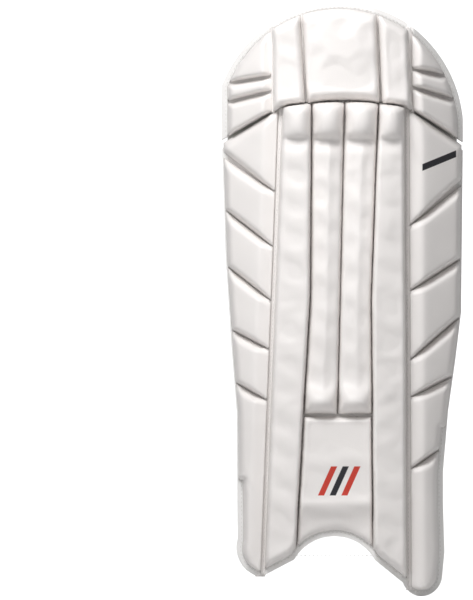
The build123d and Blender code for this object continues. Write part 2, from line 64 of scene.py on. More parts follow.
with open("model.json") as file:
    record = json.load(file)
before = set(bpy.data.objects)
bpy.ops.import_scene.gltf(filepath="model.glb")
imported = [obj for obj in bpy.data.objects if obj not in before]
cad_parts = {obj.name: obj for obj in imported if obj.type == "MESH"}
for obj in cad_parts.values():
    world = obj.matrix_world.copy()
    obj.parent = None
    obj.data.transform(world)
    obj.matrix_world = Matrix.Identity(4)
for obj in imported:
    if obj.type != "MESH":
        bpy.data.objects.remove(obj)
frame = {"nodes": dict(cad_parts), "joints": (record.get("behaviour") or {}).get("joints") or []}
CAD_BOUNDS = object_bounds()
MM = 0.001
JOINTS = {joint["name"]: joint for joint in frame["joints"]}
STRAPS = ("knee", "calf", "ankle")
SIDES = ("top", "foot", "left", "right")
INNER_SIDE = {"left": "right", "right": "left"}
CREASE_GAP = 0.3 * MM  # outlines closer together than this are taken as one
CORNER_GAP = 0.25 * MM  # between the corners that are kept of an outline
BAR_LEAN, BAR_HALF, BAR_SPACING, BAR_FOOT, BAR_TOP = 0.45, 3.2 * MM, 12 * MM, -0.141, -0.111
STRIPE_CLIMB, STRIPE_HALF, STRIPE_START, STRIPE_END = 0.42, 3.5 * MM, 0.086, 0.122
MARK_SOFT = 0.3 * MM


def length(name, default):
    """A size in metres."""
    told = f"{name}, in metres"
    return FloatProperty(name=name, description=told, default=default, min=0.0, max=1.0, unit="LENGTH", precision=4)


def colour(name, default):
    """A base colour."""
    told = f"Base colour of: {name.lower()}"
    return FloatVectorProperty(name=name, description=told, default=default, subtype="COLOR", size=3, min=0.0, max=1.0)


class PadSizes(bpy.types.PropertyGroup):
    """Sizes of the covers and trim."""

    facet_half: length("Half of the shin's flat middle", 36 * MM)
    side_turn: FloatProperty(
        name="Turn of the shin's sides", description="Angle that the sides turn back", default=radians(12),
        subtype="ANGLE",
    )
    backing: length("Lining and backing foam together", 11 * MM)
    knee_roll: length("Knee roll thickness", 28 * MM)
    outer_roll: length("Outer roll thickness", 20 * MM)
    middle_roll: length("Middle roll thickness", 17 * MM)
    instep: length("Instep pad thickness", 13 * MM)
    crown: length("Crown panel thickness", 17 * MM)
    wing_panel: length("Wing panel thickness", 13 * MM)
    lip: length("Height of a cover's edge in its crease", 1.5 * MM)
    tape: length("Width of the binding outside the facing", 4.5 * MM)
    web_reach: length("Width of the leather web over each long seam", 3.4 * MM)
    tuck: length("How far a cover reaches over its seam", 1.5 * MM)
    mesh_step: length("Distance between surface points", 2.2 * MM)
    stitch_pitch: length("Distance between stitches", 4.2 * MM)
    stitch_length: length("Stitch length", 2.6 * MM)
    thread: length("Thread radius", 0.42 * MM)
    quilt_pitch: length("Distance between the lining's quilted rows", 34 * MM)
    cloth_frames: IntProperty(
        name="Frames of cloth simulation", description="How long the stuffing settles", default=20, min=1, max=60
    )
    pressure: FloatProperty(
        name="Stuffing pressure", description="Pressure inside a cover while it settles", default=4.0, min=0.0
    )
    fullness: FloatProperty(
        name="Spare cloth in a cover", description="Share by which a cover's cloth is larger than its shape",
        default=0.03, min=0.0, max=0.2,
    )


class PadColours(bpy.types.PropertyGroup):
    """Colours of the finishes."""

    leather: colour("Facing", (0.91, 0.875, 0.855))
    # Painted shade: the darker colour that the facing takes in its creases.
    crease: colour("Facing in its creases", (0.62, 0.59, 0.57))
    cloth: colour("Lining and padding cloth", (0.78, 0.77, 0.74))
    tape: colour("Binding and webbing", (0.97, 0.955, 0.94))
    red: colour("Emblem, red bars", (0.62, 0.05, 0.03))
    black: colour("Emblem, black bar", (0.02, 0.02, 0.025))


# --- shader maths ---


class Sock:
    """An output socket that takes part in sums."""

    def __init__(self, finish, socket):
        self.finish, self.socket = finish, socket

    def math(self, operation, *others):
        values = {index: value for index, value in enumerate((self, *others))}
        return self.finish.node("ShaderNodeMath", {"operation": operation}, values)

    def __add__(self, other):
        return self.math("ADD", other)

    def __sub__(self, other):
        return self.math("SUBTRACT", other)

    def __rsub__(self, other):
        return self.finish.node("ShaderNodeMath", {"operation": "SUBTRACT"}, {0: other, 1: self})

    def __mul__(self, other):
        return self.math("MULTIPLY", other)

    __radd__ = __add__
    __rmul__ = __mul__

    def ramp(self, low, high):
        """0 below low and 1 above high, with a smooth rise between them."""
        values = {"Value": self, "From Min": low, "From Max": high}
        return self.finish.node("ShaderNodeMapRange", {"interpolation_type": "SMOOTHSTEP"}, values)

    def within(self, low, high, soft):
        return self.ramp(low - soft, low + soft) * (1 - self.ramp(high - soft, high + soft))


class Finish:
    """One material and the nodes in it."""

    def __init__(self, name):
        self.material = bpy.data.materials.new(name)
        self.material.use_nodes = True
        self.tree = self.material.node_tree
        self.shader = next(n for n in self.tree.nodes if n.type == "BSDF_PRINCIPLED")

    def node(self, kind, settings=None, values=None, output=0):
        node = self.tree.nodes.new(kind)
        for key, value in (settings or {}).items():
            setattr(node, key, value)
        self.fill(node, values or {})
        return Sock(self, node.outputs[output])

    def fill(self, node, values):
        for key, value in values.items():
            if isinstance(value, Sock):
                self.tree.links.new(value.socket, node.inputs[key])
            elif node.inputs[key].type == "RGBA":
                node.inputs[key].default_value = (*value[:3], 1.0)
            else:
                node.inputs[key].default_value = value

    def set(self, **values):
        self.fill(self.shader, {key.replace("_", " "): value for key, value in values.items()})
        return self.material

    def mix(self, share, first, second):
        values = {"Factor": share, 6: first, 7: second}
        return self.node("ShaderNodeMix", {"data_type": "RGBA"}, values, output=2)

    def place(self):
        return self.node("ShaderNodeTexCoord", output="Object")

    def axes(self, vector):
        split = self.node("ShaderNodeSeparateXYZ", values={0: vector})
        return [Sock(self, out) for out in split.socket.node.outputs]

    def noise(self, vector, scale, detail=2.0):
        return self.node("ShaderNodeTexNoise", values={"Vector": vector, "Scale": scale, "Detail": detail})

    def bump(self, height, distance, strength=1.0, below=None):
        values = {"Height": height, "Distance": distance, "Strength": strength}
        if below:
            values["Normal"] = below
        return self.node("ShaderNodeBump", values=values)


def leather(name, colours, mark=None):
    """White synthetic leather: a fine pebble, soft wrinkles, and painted shade in the creases."""
    finish = Finish(name)
    place = finish.place()
    cells = {"Vector": place, "Scale": 1100.0, "Smoothness": 0.6}
    pebble = finish.node("ShaderNodeTexVoronoi", {"feature": "SMOOTH_F1"}, cells)
    wrinkle = finish.noise(place, 95.0, 4.0)
    cloud = finish.noise(place, 9.0, 3.0)
    rise = finish.node("ShaderNodeAttribute", {"attribute_name": "rise"}, output="Fac")
    outside_painted_shade = rise.ramp(0.0, 0.08)
    tone = finish.mix(cloud.ramp(0.35, 0.7), colours.leather, [c * 0.955 for c in colours.leather])
    # Painted shade: where a cover has barely risen from its crease, the facing turns to the darker crease colour.
    tone = finish.mix(outside_painted_shade, colours.crease, tone)
    if mark:
        tone = mark(finish, place, tone, colours)
    soft = finish.bump(wrinkle, 0.35 * MM, 0.5)
    return finish.set(
        Base_Color=tone,
        Roughness=0.40 + 0.12 * cloud + 0.10 * (1 - outside_painted_shade),
        Normal=finish.bump(pebble, 0.10 * MM, 0.7, below=soft),
        Specular_IOR_Level=0.45,
        Coat_Roughness=0.35,
        Coat_Weight=0.08,
    )


def slanted_bars(finish, place, tone, colours):
    """Three leaning bars on the instep, two red and one black."""
    across, _, up = finish.axes(place)
    lean = across - BAR_LEAN * (up + 0.126)
    level = up.within(BAR_FOOT, BAR_TOP, MARK_SOFT)
    for middle, bar in ((-BAR_SPACING, colours.red), (0.0, colours.black), (BAR_SPACING, colours.red)):
        within = lean.within(middle - BAR_HALF, middle + BAR_HALF, MARK_SOFT) * level
        tone = finish.mix(within, tone, bar)
    return tone


def slanted_stripe(finish, place, tone, colours):
    """One dark bar that climbs towards the wing's edge."""
    across, _, up = finish.axes(place)
    climb = up - STRIPE_CLIMB * (across - 0.105) - 0.2045
    within = climb.within(-STRIPE_HALF, STRIPE_HALF, MARK_SOFT) * across.within(STRIPE_START, STRIPE_END, MARK_SOFT)
    return finish.mix(within, tone, colours.black)


def woven(name, colour, pitch, depth, rough=0.85, by_uv=False):
    """Plain weave: two crossing sets of threads with a little fuzz."""
    finish = Finish(name)
    vector = finish.node("ShaderNodeTexCoord", output="UV" if by_uv else "Object")
    u, v, w = finish.axes(vector)
    along, up = (u, v) if by_uv else (u + v, w)
    turn = 2 * pi / pitch
    warp = (along * turn).math("SINE")
    weft = (up * turn).math("SINE")
    weave = (warp * weft) * 0.5 + 0.5
    fuzz = finish.noise(vector, 700.0, 3.0)
    cloud = finish.noise(vector, 14.0, 2.0)
    shade = finish.mix(weave, [c * 0.93 for c in colour], colour)
    shade = finish.mix(cloud.ramp(0.3, 0.75) * 0.35, shade, [c * 0.9 for c in colour])
    threads = finish.bump(weave + 0.35 * fuzz, depth, 0.8)
    return finish.set(Base_Color=shade, Roughness=rough - 0.1 * weave, Normal=threads, Sheen_Weight=0.25)


def plain_thread(name, colour):
    finish = Finish(name)
    twist = finish.noise(finish.place(), 1800.0, 2.0)
    shade = finish.mix(twist, [c * 0.85 for c in colour], colour)
    return finish.set(Base_Color=shade, Roughness=0.6 + 0.15 * twist)


def nickel(name):
    finish = Finish(name)
    wear = finish.noise(finish.place(), 260.0, 4.0)
    tone = finish.mix(wear.ramp(0.4, 0.7), (0.72, 0.72, 0.73), (0.58, 0.57, 0.56))
    normal = finish.bump(wear, 0.03 * MM, 0.4)
    return finish.set(Base_Color=tone, Metallic=1.0, Roughness=0.22 + 0.2 * wear, Normal=normal)


def cane(name):
    finish = Finish(name)
    x, y, z = finish.axes(finish.place())
    fibre = finish.noise(
        finish.node("ShaderNodeCombineXYZ", values={0: x * 12.0, 1: y * 12.0, 2: z * 0.4}), 90.0, 4.0
    )
    tone = finish.mix(fibre, (0.50, 0.33, 0.15), (0.72, 0.55, 0.32))
    return finish.set(Base_Color=tone, Roughness=0.5 + 0.2 * fibre, Normal=finish.bump(fibre, 0.1 * MM))


# --- the surfaces that the covers lie on ---


class Ground:
    """Where a cover lies: y for a place seen from the front, at a lift above the lining's rear."""

    def __init__(self, sizes, side=None):
        self.sizes, self.side = sizes, side
        if side:
            self.foot = Vector(JOINTS[f"{side}_wing_flex"]["pos_m"])
            self.normal = widest_normal(f"wing_lining_{side}")

    def y(self, x, z, lift):
        if not self.side:
            turned = np.maximum(0.0, np.abs(x) - self.sizes.facet_half)
            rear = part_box("shin_cushion")[0].y
            return rear + turned * tan(self.sizes.side_turn) - lift
        nx, ny, nz = self.normal
        return self.foot.y + (lift - nx * (x - self.foot.x) - nz * (z - self.foot.z)) / ny

    def bends_under(self, flat):
        """Whether the ground folds somewhere under the points."""
        away = np.abs(flat[:, 0])
        return not self.side and away.min() < self.sizes.facet_half < away.max()

    def lift(self, points):
        """How far 3-D points lie in front of a wing's plane."""
        return (points - np.array(self.foot)) @ np.array(self.normal)

    def points(self, flat, lift):
        """3-D points for an array of (x, z), with one lift or one for each."""
        return np.column_stack((flat[:, 0], self.y(flat[:, 0], flat[:, 1], lift), flat[:, 1]))


def widest_normal(node):
    """The normal of a CAD node's largest front face."""
    areas = {}
    for face in frame["nodes"][node].data.polygons:
        if face.normal.y < -0.5:
            key = tuple(round(c, 4) for c in face.normal)
            areas[key] = areas.get(key, 0.0) + face.area
    return Vector(max(areas, key=areas.get)).normalized()


def merged(node):
    """A CAD node's mesh as one joined surface."""
    mesh = bmesh.new()
    mesh.from_mesh(frame["nodes"][node].data)
    bmesh.ops.remove_doubles(mesh, verts=mesh.verts, dist=2e-6)
    mesh.normal_update()
    return mesh


def outlines(node, toward=-1, least=0.5):
    """A CAD node's outlines as loops of (x, z), from its faces that look to the front (-1) or rear (1)."""
    mesh = merged(node)
    facing = {f for f in mesh.faces if f.normal.y * toward > least}
    links = {}
    for edge in mesh.edges:
        if sum(f in facing for f in edge.link_faces) == 1:
            a, b = edge.verts
            links.setdefault(a, []).append(b)
            links.setdefault(b, []).append(a)
    loops, seen = [], set()
    for start in links:
        if start in seen:
            continue
        loop, here = [], start
        while here is not None:
            seen.add(here)
            loop.append((here.co.x, here.co.z))
            here = next((v for v in links[here] if v not in seen), None)
        loops.append(tidy_loop(np.array(loop)))
    mesh.free()
    return [loop for loop in loops if len(loop) > 2 and abs(signed_area(loop)) > 20 * MM * MM]


def signed_area(loop):
    after = np.roll(loop, -1, axis=0)
    return float(np.sum(loop[:, 0] * after[:, 1] - after[:, 0] * loop[:, 1]) / 2)


def tidy_loop(loop):
    """The loop anticlockwise, without points closer together than CORNER_GAP."""
    keep = [loop[0]]
    for point in loop[1:]:
        if np.hypot(*(point - keep[-1])) > CORNER_GAP:
            keep.append(point)
    if len(keep) > 1 and np.hypot(*(keep[0] - keep[-1])) < CORNER_GAP:
        keep.pop()
    keep = np.array(keep)
    return keep if signed_area(keep) > 0 else keep[::-1]


def divided(loop, step):
    """The loop with its long runs divided."""
    points = []
    for a, b in zip(loop, np.roll(loop, -1, axis=0)):
        count = max(1, int(np.ceil(np.hypot(*(b - a)) / step)))
        points += [a + (b - a) * k / count for k in range(count)]
    return np.array(points)


def distance_to(points, starts, ends):
    """Distance from each point to the nearest of the segments."""
    best = np.full(len(points), 9.0)
    for a, b in zip(starts, ends):
        run = b - a
        share = np.clip(((points - a) @ run) / max(run @ run, 1e-12), 0.0, 1.0)
        gap = points - a - share[:, None] * run
        best = np.minimum(best, np.hypot(gap[:, 0], gap[:, 1]))
    return best


def from_edge(points, loop):
    """Distance from each point to the loop."""
    return distance_to(points, loop, np.roll(loop, -1, axis=0))


def by_side(loop):
    """The loop's segments sorted by the way that they face."""
    ends = np.roll(loop, -1, axis=0)
    run = ends - loop
    out_x, out_z = run[:, 1], -run[:, 0]
    upright = np.abs(out_z) > np.abs(out_x) * 0.75
    masks = (upright & (out_z > 0), upright & (out_z <= 0), ~upright & (out_x < 0), ~upright & (out_x >= 0))
    return {side: (loop[mask], ends[mask]) for side, mask in zip(SIDES, masks)}


def edge_of(loop, side):
    """The corners of one side of a loop, from its foot up or from left to right."""
    points = np.unique(np.vstack(by_side(loop)[side]).round(7), axis=0)
    return points[np.argsort(points[:, 1 if side in ("left", "right") else 0])]


def stretched(loop, side, reach):
    """The loop with the edge on one side moved out by reach, its corners along the edges that they end."""
    way = {"top": (0, 1), "foot": (0, -1), "left": (-1, 0), "right": (1, 0)}[side]
    along = 0 if way[0] else 1
    starts, ends = by_side(loop)[side]
    ours = {tuple(p) for p in (*starts, *ends)}
    moved = loop.copy()
    for k, point in enumerate(loop):
        if tuple(point) not in ours:
            continue
        step = np.array(way, float) * reach
        for other in (loop[k - 1], loop[(k + 1) % len(loop)]):
            run = point - other
            if tuple(other) not in ours and abs(run[along]) > CREASE_GAP:
                step[1 - along] = np.clip(run[1 - along] / run[along], -1.2, 1.2) * step[along]
        moved[k] = point + step
    return moved


def joined(lower, upper):
    """The outline of two covers that meet end to end."""

    def part(loop, ends, first, last):
        """The loop's corners from one of the ends to the other."""
        start, stop = ends[first(ends[:, 0])], ends[last(ends[:, 0])]
        turned = np.roll(loop, -int(np.argmin(np.abs(loop - start).sum(axis=1))), axis=0)
        return turned[: int(np.argmin(np.abs(turned - stop).sum(axis=1))) + 1]

    head = lower[lower[:, 1] > lower[:, 1].max() - CREASE_GAP]
    foot = upper[upper[:, 1] < upper[:, 1].min() + CREASE_GAP]
    return np.vstack((part(lower, head, np.argmin, np.argmax), part(upper, foot, np.argmax, np.argmin)))


def dome(distance, width):
    """A quarter round from 0 at an edge to 1 at width."""
    share = np.clip(distance / width, 0.0, 1.0)
    return np.sqrt(np.maximum(0.0, 1 - (1 - share) ** 2))


def bevel(distance, width):
    """A straight bevel from 0 at an edge to 1 at width, with its upper corner eased."""
    ease = 0.22
    share = distance / width
    start = (1 - np.hypot(1.0, ease)) / 2
    return np.clip(((share + 1 - np.hypot(share - 1, ease)) / 2 - start) / (1 - start), 0.0, 1.0)


def swell(points, loop, widths, profile):
    """How far each point has risen, 0 to 1, from the loop's edges over their own widths."""
    left = np.zeros(len(points))
    for side, (starts, ends) in by_side(loop).items():
        if len(starts):
            left += (1 - profile(distance_to(points, starts, ends), widths[side])) ** 4
    return 1 - np.minimum(1.0, left ** 0.25)


def place_across(points, loop):
    """Where each point lies between the loop's sides: -1 at the left, 1 at the right."""
    sides = by_side(loop)
    left, right = (distance_to(points, *sides[side]) for side in ("left", "right"))
    return (left - right) / (left + right)


def hump(values, middle, half):
    """A smooth hump of height 1 about middle."""
    return np.exp(-(((values - middle) / half) ** 2))


def gathers(points, starts, ends, pitch, reach):
    """Small folds that run in from an edge and die away."""
    near = distance_to(points, starts, ends)
    along = points[:, 0] + 0.4 * points[:, 1]
    wave = np.sin(along * 2 * pi / pitch + 1.5 * np.sin(along * 190.0))
    return wave * np.exp(-((near / reach) ** 2))


def inside(points, loop):
    """Which of the points lie in the loop."""
    found = np.zeros(len(points), bool)
    for a, b in zip(loop, np.roll(loop, -1, axis=0)):
        if a[1] == b[1]:
            continue
        x = a[0] + (points[:, 1] - a[1]) * (b[0] - a[0]) / (b[1] - a[1])
        found ^= ((a[1] > points[:, 1]) != (b[1] > points[:, 1])) & (points[:, 0] < x)
    return found


def inner_points(loop, step):
    """A staggered grid of points inside the loop, not too near its edge."""
    low, high = loop.min(axis=0), loop.max(axis=0)
    rows = np.arange(low[1] + step / 2, high[1], step * 0.87)
    found = []
    for number, z in enumerate(rows):
        across = np.arange(low[0] + (number % 2) * step / 2, high[0], step)
        found.append(np.column_stack((across, np.full(len(across), z))))
    points = np.vstack(found)
    return points[inside(points, loop) & (from_edge(points, loop) > step * 0.45)]


def relief(loops, ground, base, rise_at, step, rear=False):
    """A closed cover on the ground: vertices, faces and each vertex's share of its rise.

    rise_at gives the height above base, and the share, of an array of (x, z) in a loop.
    """
    vertices, faces, shares = [], [], []
    for loop in loops:
        rim = divided(loop, step)
        flat = np.vstack((rim, inner_points(rim, step)))
        edges = [(k, (k + 1) % len(rim)) for k in range(len(rim))]
        cut = delaunay_2d_cdt([Vector(p) for p in flat], edges, [], 1, 1e-7)
        flat = np.array([tuple(p) for p in cut[0]])
        heights, share = rise_at(flat, loop)
        start = len(vertices)
        vertices += [tuple(p) for p in ground.points(flat, base + heights)]
        shares += list(share)
        front = [tuple(start + k for k in face) for face in cut[2]]
        corners = np.array([flat[list(face)[:3]] for face in cut[2]])
        first, second = corners[:, 1] - corners[:, 0], corners[:, 2] - corners[:, 0]
        turn = first[:, 0] * second[:, 1] - first[:, 1] * second[:, 0]
        front = [f if t > 0 else f[::-1] for f, t in zip(front, turn)]
        used = {}
        for face in front:
            for a, b in zip(face, face[1:] + face[:1]):
                used[(a, b)] = used.get((a, b), 0) + 1
        rims = [(a, b) for a, b in used if (b, a) not in used]
        bent = ground.bends_under(flat)
        below = {}
        for a in range(start, start + len(flat)) if bent else [a for a, _ in rims]:
            below[a] = len(vertices)
            vertices.append(tuple(ground.points(flat[a - start : a - start + 1], base)[0]))
            shares.append(0.0)
        walls = [(b, a, below[a], below[b]) for a, b in rims]
        back = [tuple(below[a] for a in f[::-1]) for f in front] if bent else back_cap(rims, below, vertices)
        faces += front + walls + back
    if rear:
        faces = [face[::-1] for face in faces]
    return vertices, faces, shares


def back_cap(rims, below, vertices):
    """Triangles that close a cover's flat back."""
    order = [below[a] for a, _ in rims]
    after = {below[a]: below[b] for a, b in rims}
    flat = [Vector((vertices[k][0], vertices[k][2])) for k in order]
    index = {k: n for n, k in enumerate(order)}
    edges = [(index[k], index[after[k]]) for k in order]
    cut = delaunay_2d_cdt(flat, edges, [], 1, 1e-7)
    source = [ids[0] for ids in cut[3]]
    caps = []
    for face in cut[2]:
        a, b, c = (order[source[k]] for k in face[:3])
        one, two, three = (Vector((vertices[k][0], vertices[k][2])) for k in (a, b, c))
        anticlockwise = (two - one).cross(three - one) > 0
        caps.append((a, c, b) if anticlockwise else (a, b, c))
    return caps


def new_object(name, data):
    """An object in the scene for a mesh, a light or a camera."""
    made = bpy.data.objects.new(name, data)
    bpy.context.scene.collection.objects.link(made)
    return made


def set_rise(mesh, shares):
    """Stores how far each vertex has risen from its crease, which the leather reads to paint shade in its creases."""
    mesh.attributes.new("rise", "FLOAT", "POINT").data.foreach_set("value", np.array(shares, np.float32))


def make_piece(name, vertices, faces, shares, material, body=None, nodes=()):
    """A smooth mesh object that may ride on a body and stand for CAD nodes."""
    mesh = bpy.data.meshes.new(name)
    mesh.from_pydata(vertices, [], faces)
    mesh.update()
    mesh.shade_smooth()
    mesh.materials.append(material)
    set_rise(mesh, shares)
    return own(new_object(name, mesh), body, nodes)


def own(piece, body, nodes=()):
    """Says what a piece rides on, which CAD nodes it stands for."""
    if body:
        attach(piece, body)
    if nodes:
        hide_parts(*nodes)
    return piece


def wobble(points, amount):
    """Slow unevenness, the same on every run."""
    x, z = points[:, 0] / MM, points[:, 1] / MM
    slow = np.sin(x * 0.11 + z * 0.043) * np.sin(z * 0.071 - x * 0.02 + 1.3)
    return amount * (slow + 0.4 * np.sin(z * 0.19 + x * 0.13))


def cover(name, nodes, loops, ground, body, material, height_at, swell_cap=0.0):
    """The stuffed or moulded cover that stands for CAD nodes of the facing.

    height_at gives the height above the backing, and how far each point has risen from its edge.
    """
    sizes = bpy.context.scene.pad_sizes

    def rise_at(points, loop):
        height, share = height_at(points, loop)
        return sizes.lip + (height - sizes.lip + wobble(points, 0.25 * MM)) * share, share

    vertices, faces, shares = relief(loops, ground, sizes.backing, rise_at, sizes.mesh_step)
    piece = make_piece(f"{name}_cover", vertices, faces, shares, material)
    if swell_cap:
        plump(piece, np.array(shares), swell_cap)
    own(piece, body, nodes)


def around(top, foot, left, right):
    """A width for each side of a loop, given in millimetres."""
    return dict(zip(SIDES, (top * MM, foot * MM, left * MM, right * MM)))


# --- cloth simulation ---


CUSHION_CLOTH = {
    "quality": 5, "mass": 0.3, "tension_stiffness": 18.0, "compression_stiffness": 18.0, "bending_stiffness": 1.2,
}
COVER_CLOTH = {
    "quality": 6, "mass": 0.02, "tension_stiffness": 12.0, "compression_stiffness": 12.0, "shear_stiffness": 6.0,
    "bending_stiffness": 0.3, "vertex_group_mass": "sewn",
}
SEWN_SHARE = 0.12  # a cover is held down where it has risen less than this
EASING_ROUNDS = 8


def simulate(piece, pressure, values):
    """Lets a piece settle as cloth with a pressure inside it."""
    scene = bpy.context.scene
    cloth = piece.modifiers.new("cloth", "CLOTH")
    for name, value in values.items():
        setattr(cloth.settings, name, value)
    cloth.settings.use_pressure = True
    cloth.settings.uniform_pressure_force = pressure
    cloth.settings.effector_weights.gravity = 0.0
    cloth.point_cache.frame_start = 1
    cloth.point_cache.frame_end = scene.pad_sizes.cloth_frames
    for number in range(1, scene.pad_sizes.cloth_frames + 1):
        scene.frame_set(number)
    apply_modifiers(piece)
    scene.frame_set(1)


def move_from(mesh, before, move, cap):
    """Places a mesh's vertices no further than cap from where they were."""
    reach = np.linalg.norm(move, axis=1, keepdims=True)
    move = move * np.minimum(1.0, cap / np.maximum(reach, 1e-9))
    mesh.vertices.foreach_set("co", (before + move).astype(np.float32).ravel())


def stuff(piece, voxel, pressure, cap):
    """Swells a closed piece all round as stuffed cloth."""
    bpy.context.view_layer.objects.active = piece
    remesh = piece.modifiers.new("even", "REMESH")
    remesh.mode = "VOXEL"
    remesh.voxel_size = voxel
    apply_modifiers(piece)
    before = positions(piece.data)
    simulate(piece, pressure, CUSHION_CLOTH)
    move_from(piece.data, before, positions(piece.data) - before, cap)
    refine(piece)
    piece.data.shade_smooth()
    set_rise(piece.data, np.ones(len(piece.data.vertices)))


def plump(piece, shares, cap):
    """Fills a cover as cloth that is sewn down at its edges."""
    sizes = bpy.context.scene.pad_sizes
    sewn = piece.vertex_groups.new(name="sewn")
    sewn.add([int(k) for k in np.flatnonzero(shares < SEWN_SHARE)], 1.0, "REPLACE")
    before = positions(piece.data)
    simulate(piece, sizes.pressure, {**COVER_CLOTH, "shrink_min": -sizes.fullness})
    move = eased(piece.data, positions(piece.data) - before, EASING_ROUNDS)
    move_from(piece.data, before, move * (shares[:, None] > 0.0), cap)
    piece.vertex_groups.clear()
    piece.data.update()


def eased(mesh, values, rounds):
    """Values at a mesh's vertices, averaged with their neighbours' a number of times."""
    ends = np.zeros(len(mesh.edges) * 2, np.int32)
    mesh.edges.foreach_get("vertices", ends)
    a, b = ends.reshape(-1, 2).T
    links = np.bincount(np.concatenate((a, b)), minlength=len(values))[:, None]
    for _ in range(rounds):
        total = np.zeros_like(values)
        np.add.at(total, a, values[b])
        np.add.at(total, b, values[a])
        values = (values + total / np.maximum(links, 1)) / 2
    return values


def apply_modifiers(piece):
    """The evaluated mesh takes the piece's mesh's place, and its modifiers go."""
    evaluated = piece.evaluated_get(bpy.context.evaluated_depsgraph_get())
    mesh = bpy.data.meshes.new_from_object(evaluated)
    old = piece.data
    materials = list(old.materials)
    piece.modifiers.clear()
    piece.data = mesh
    if not mesh.materials:
        for material in materials:
            mesh.materials.append(material)
    bpy.data.meshes.remove(old)


def refine(piece):
    """Divides and smooths a piece's surface once."""
    finer = piece.modifiers.new("finer", "SUBSURF")
    finer.levels = finer.render_levels = 1
    apply_modifiers(piece)


def positions(mesh):
    """A mesh's vertices as rows of x, y and z."""
    found = np.zeros(len(mesh.vertices) * 3, np.float32)
    mesh.vertices.foreach_get("co", found)
    return found.reshape(-1, 3).astype(float)


def node_points(node):
    return positions(frame["nodes"][node].data)


def from_bmesh(name, mesh, material):
    """An object with the bmesh's surface. The bmesh is freed."""
    piece = new_object(name, bpy.data.meshes.new(name))
    mesh.to_mesh(piece.data)
    mesh.free()
    piece.data.materials.append(material)
    return piece


def cushion_from(node, material, body, voxel, pressure, cap, inset=0.8 * MM):
    """A cushion that swells from a slightly smaller copy of its CAD solid."""
    mesh = merged(node)
    bmesh.ops.dissolve_limit(mesh, angle_limit=radians(1), verts=mesh.verts, edges=mesh.edges)
    piece = from_bmesh(f"{node}_stuffed", mesh, material)
    points = positions(piece.data)
    middle = (points.min(axis=0) + points.max(axis=0)) / 2
    half = (points.max(axis=0) - points.min(axis=0)) / 2
    shrunk = middle + (points - middle) * (1 - inset / np.maximum(half, 1e-6))
    piece.data.vertices.foreach_set("co", shrunk.astype(np.float32).ravel())
    stuff(piece, voxel, pressure, cap)
    own(piece, body, [node])


def rounded_copy(node, material, body, width=0.0, segments=0, uv=None):
    """A copy of a CAD node with rounded edges or, with no segments, with a finer and smoother surface."""
    mesh = merged(node)
    bmesh.ops.dissolve_limit(mesh, angle_limit=radians(0.6), verts=mesh.verts, edges=mesh.edges)
    if segments:
        sharp = [e for e in mesh.edges if len(e.link_faces) == 2 and e.calc_face_angle(0.0) > radians(35)]
        bmesh.ops.bevel(
            mesh, geom=sharp, offset=width, segments=segments, profile=0.5, affect="EDGES", clamp_overlap=True
        )
    bmesh.ops.triangulate(mesh, faces=[f for f in mesh.faces if len(f.verts) > 4])
    if uv:
        layer = mesh.loops.layers.uv.new("UVMap")
        for face in mesh.faces:
            for loop in face.loops:
                loop[layer].uv = uv(loop.vert.co)
    piece = from_bmesh(f"{node}_trim", mesh, material)
    if not segments:
        refine(piece)
    piece.data.shade_smooth()
    piece.data.set_sharp_from_angle(angle=radians(40))
    set_rise(piece.data, np.ones(len(piece.data.vertices)))
    return own(piece, body, [node])


# --- stitches ---


def stitch_tree():
    """Stitches along the edges of a mesh: pitch, length, thread radius and thread are its inputs."""
    tree = bpy.data.node_groups.new("stitches", "GeometryNodeTree")
    face = tree.interface
    face.new_socket("Geometry", in_out="INPUT", socket_type="NodeSocketGeometry")
    for name in ("Pitch", "Length", "Radius"):
        face.new_socket(name, in_out="INPUT", socket_type="NodeSocketFloat")
    face.new_socket("Thread", in_out="INPUT", socket_type="NodeSocketMaterial")
    face.new_socket("Geometry", in_out="OUTPUT", socket_type="NodeSocketGeometry")
    add = tree.nodes.new
    given, result = add("NodeGroupInput"), add("NodeGroupOutput")
    curve = add("GeometryNodeMeshToCurve")
    points = add("GeometryNodeResampleCurve")
    points.mode = "LENGTH"
    stitch = add("GeometryNodeMeshIcoSphere")
    stitch.inputs["Radius"].default_value = 1.0
    tangent = add("GeometryNodeInputTangent")
    align = add("FunctionNodeAlignRotationToVector")
    align.axis = "X"
    size = add("ShaderNodeCombineXYZ")
    half = add("ShaderNodeMath")
    half.operation = "MULTIPLY"
    half.inputs[1].default_value = 0.5
    place = add("GeometryNodeInstanceOnPoints")
    real = add("GeometryNodeRealizeInstances")
    finish = add("GeometryNodeSetMaterial")
    for source, out, target, into in (
        (given, "Geometry", curve, 0),
        (curve, 0, points, "Curve"),
        (given, "Pitch", points, "Length"),
        (points, 0, place, "Points"),
        (stitch, "Mesh", place, "Instance"),
        (tangent, 0, align, "Vector"),
        (align, 0, place, "Rotation"),
        (given, "Length", half, 0),
        (half, 0, size, "X"),
        (given, "Radius", size, "Y"),
        (given, "Radius", size, "Z"),
        (size, 0, place, "Scale"),
        (place, 0, real, 0),
        (real, 0, finish, "Geometry"),
        (given, "Thread", finish, "Material"),
        (finish, 0, result, 0),
    ):
        tree.links.new(source.outputs[out], target.inputs[into])
    return tree


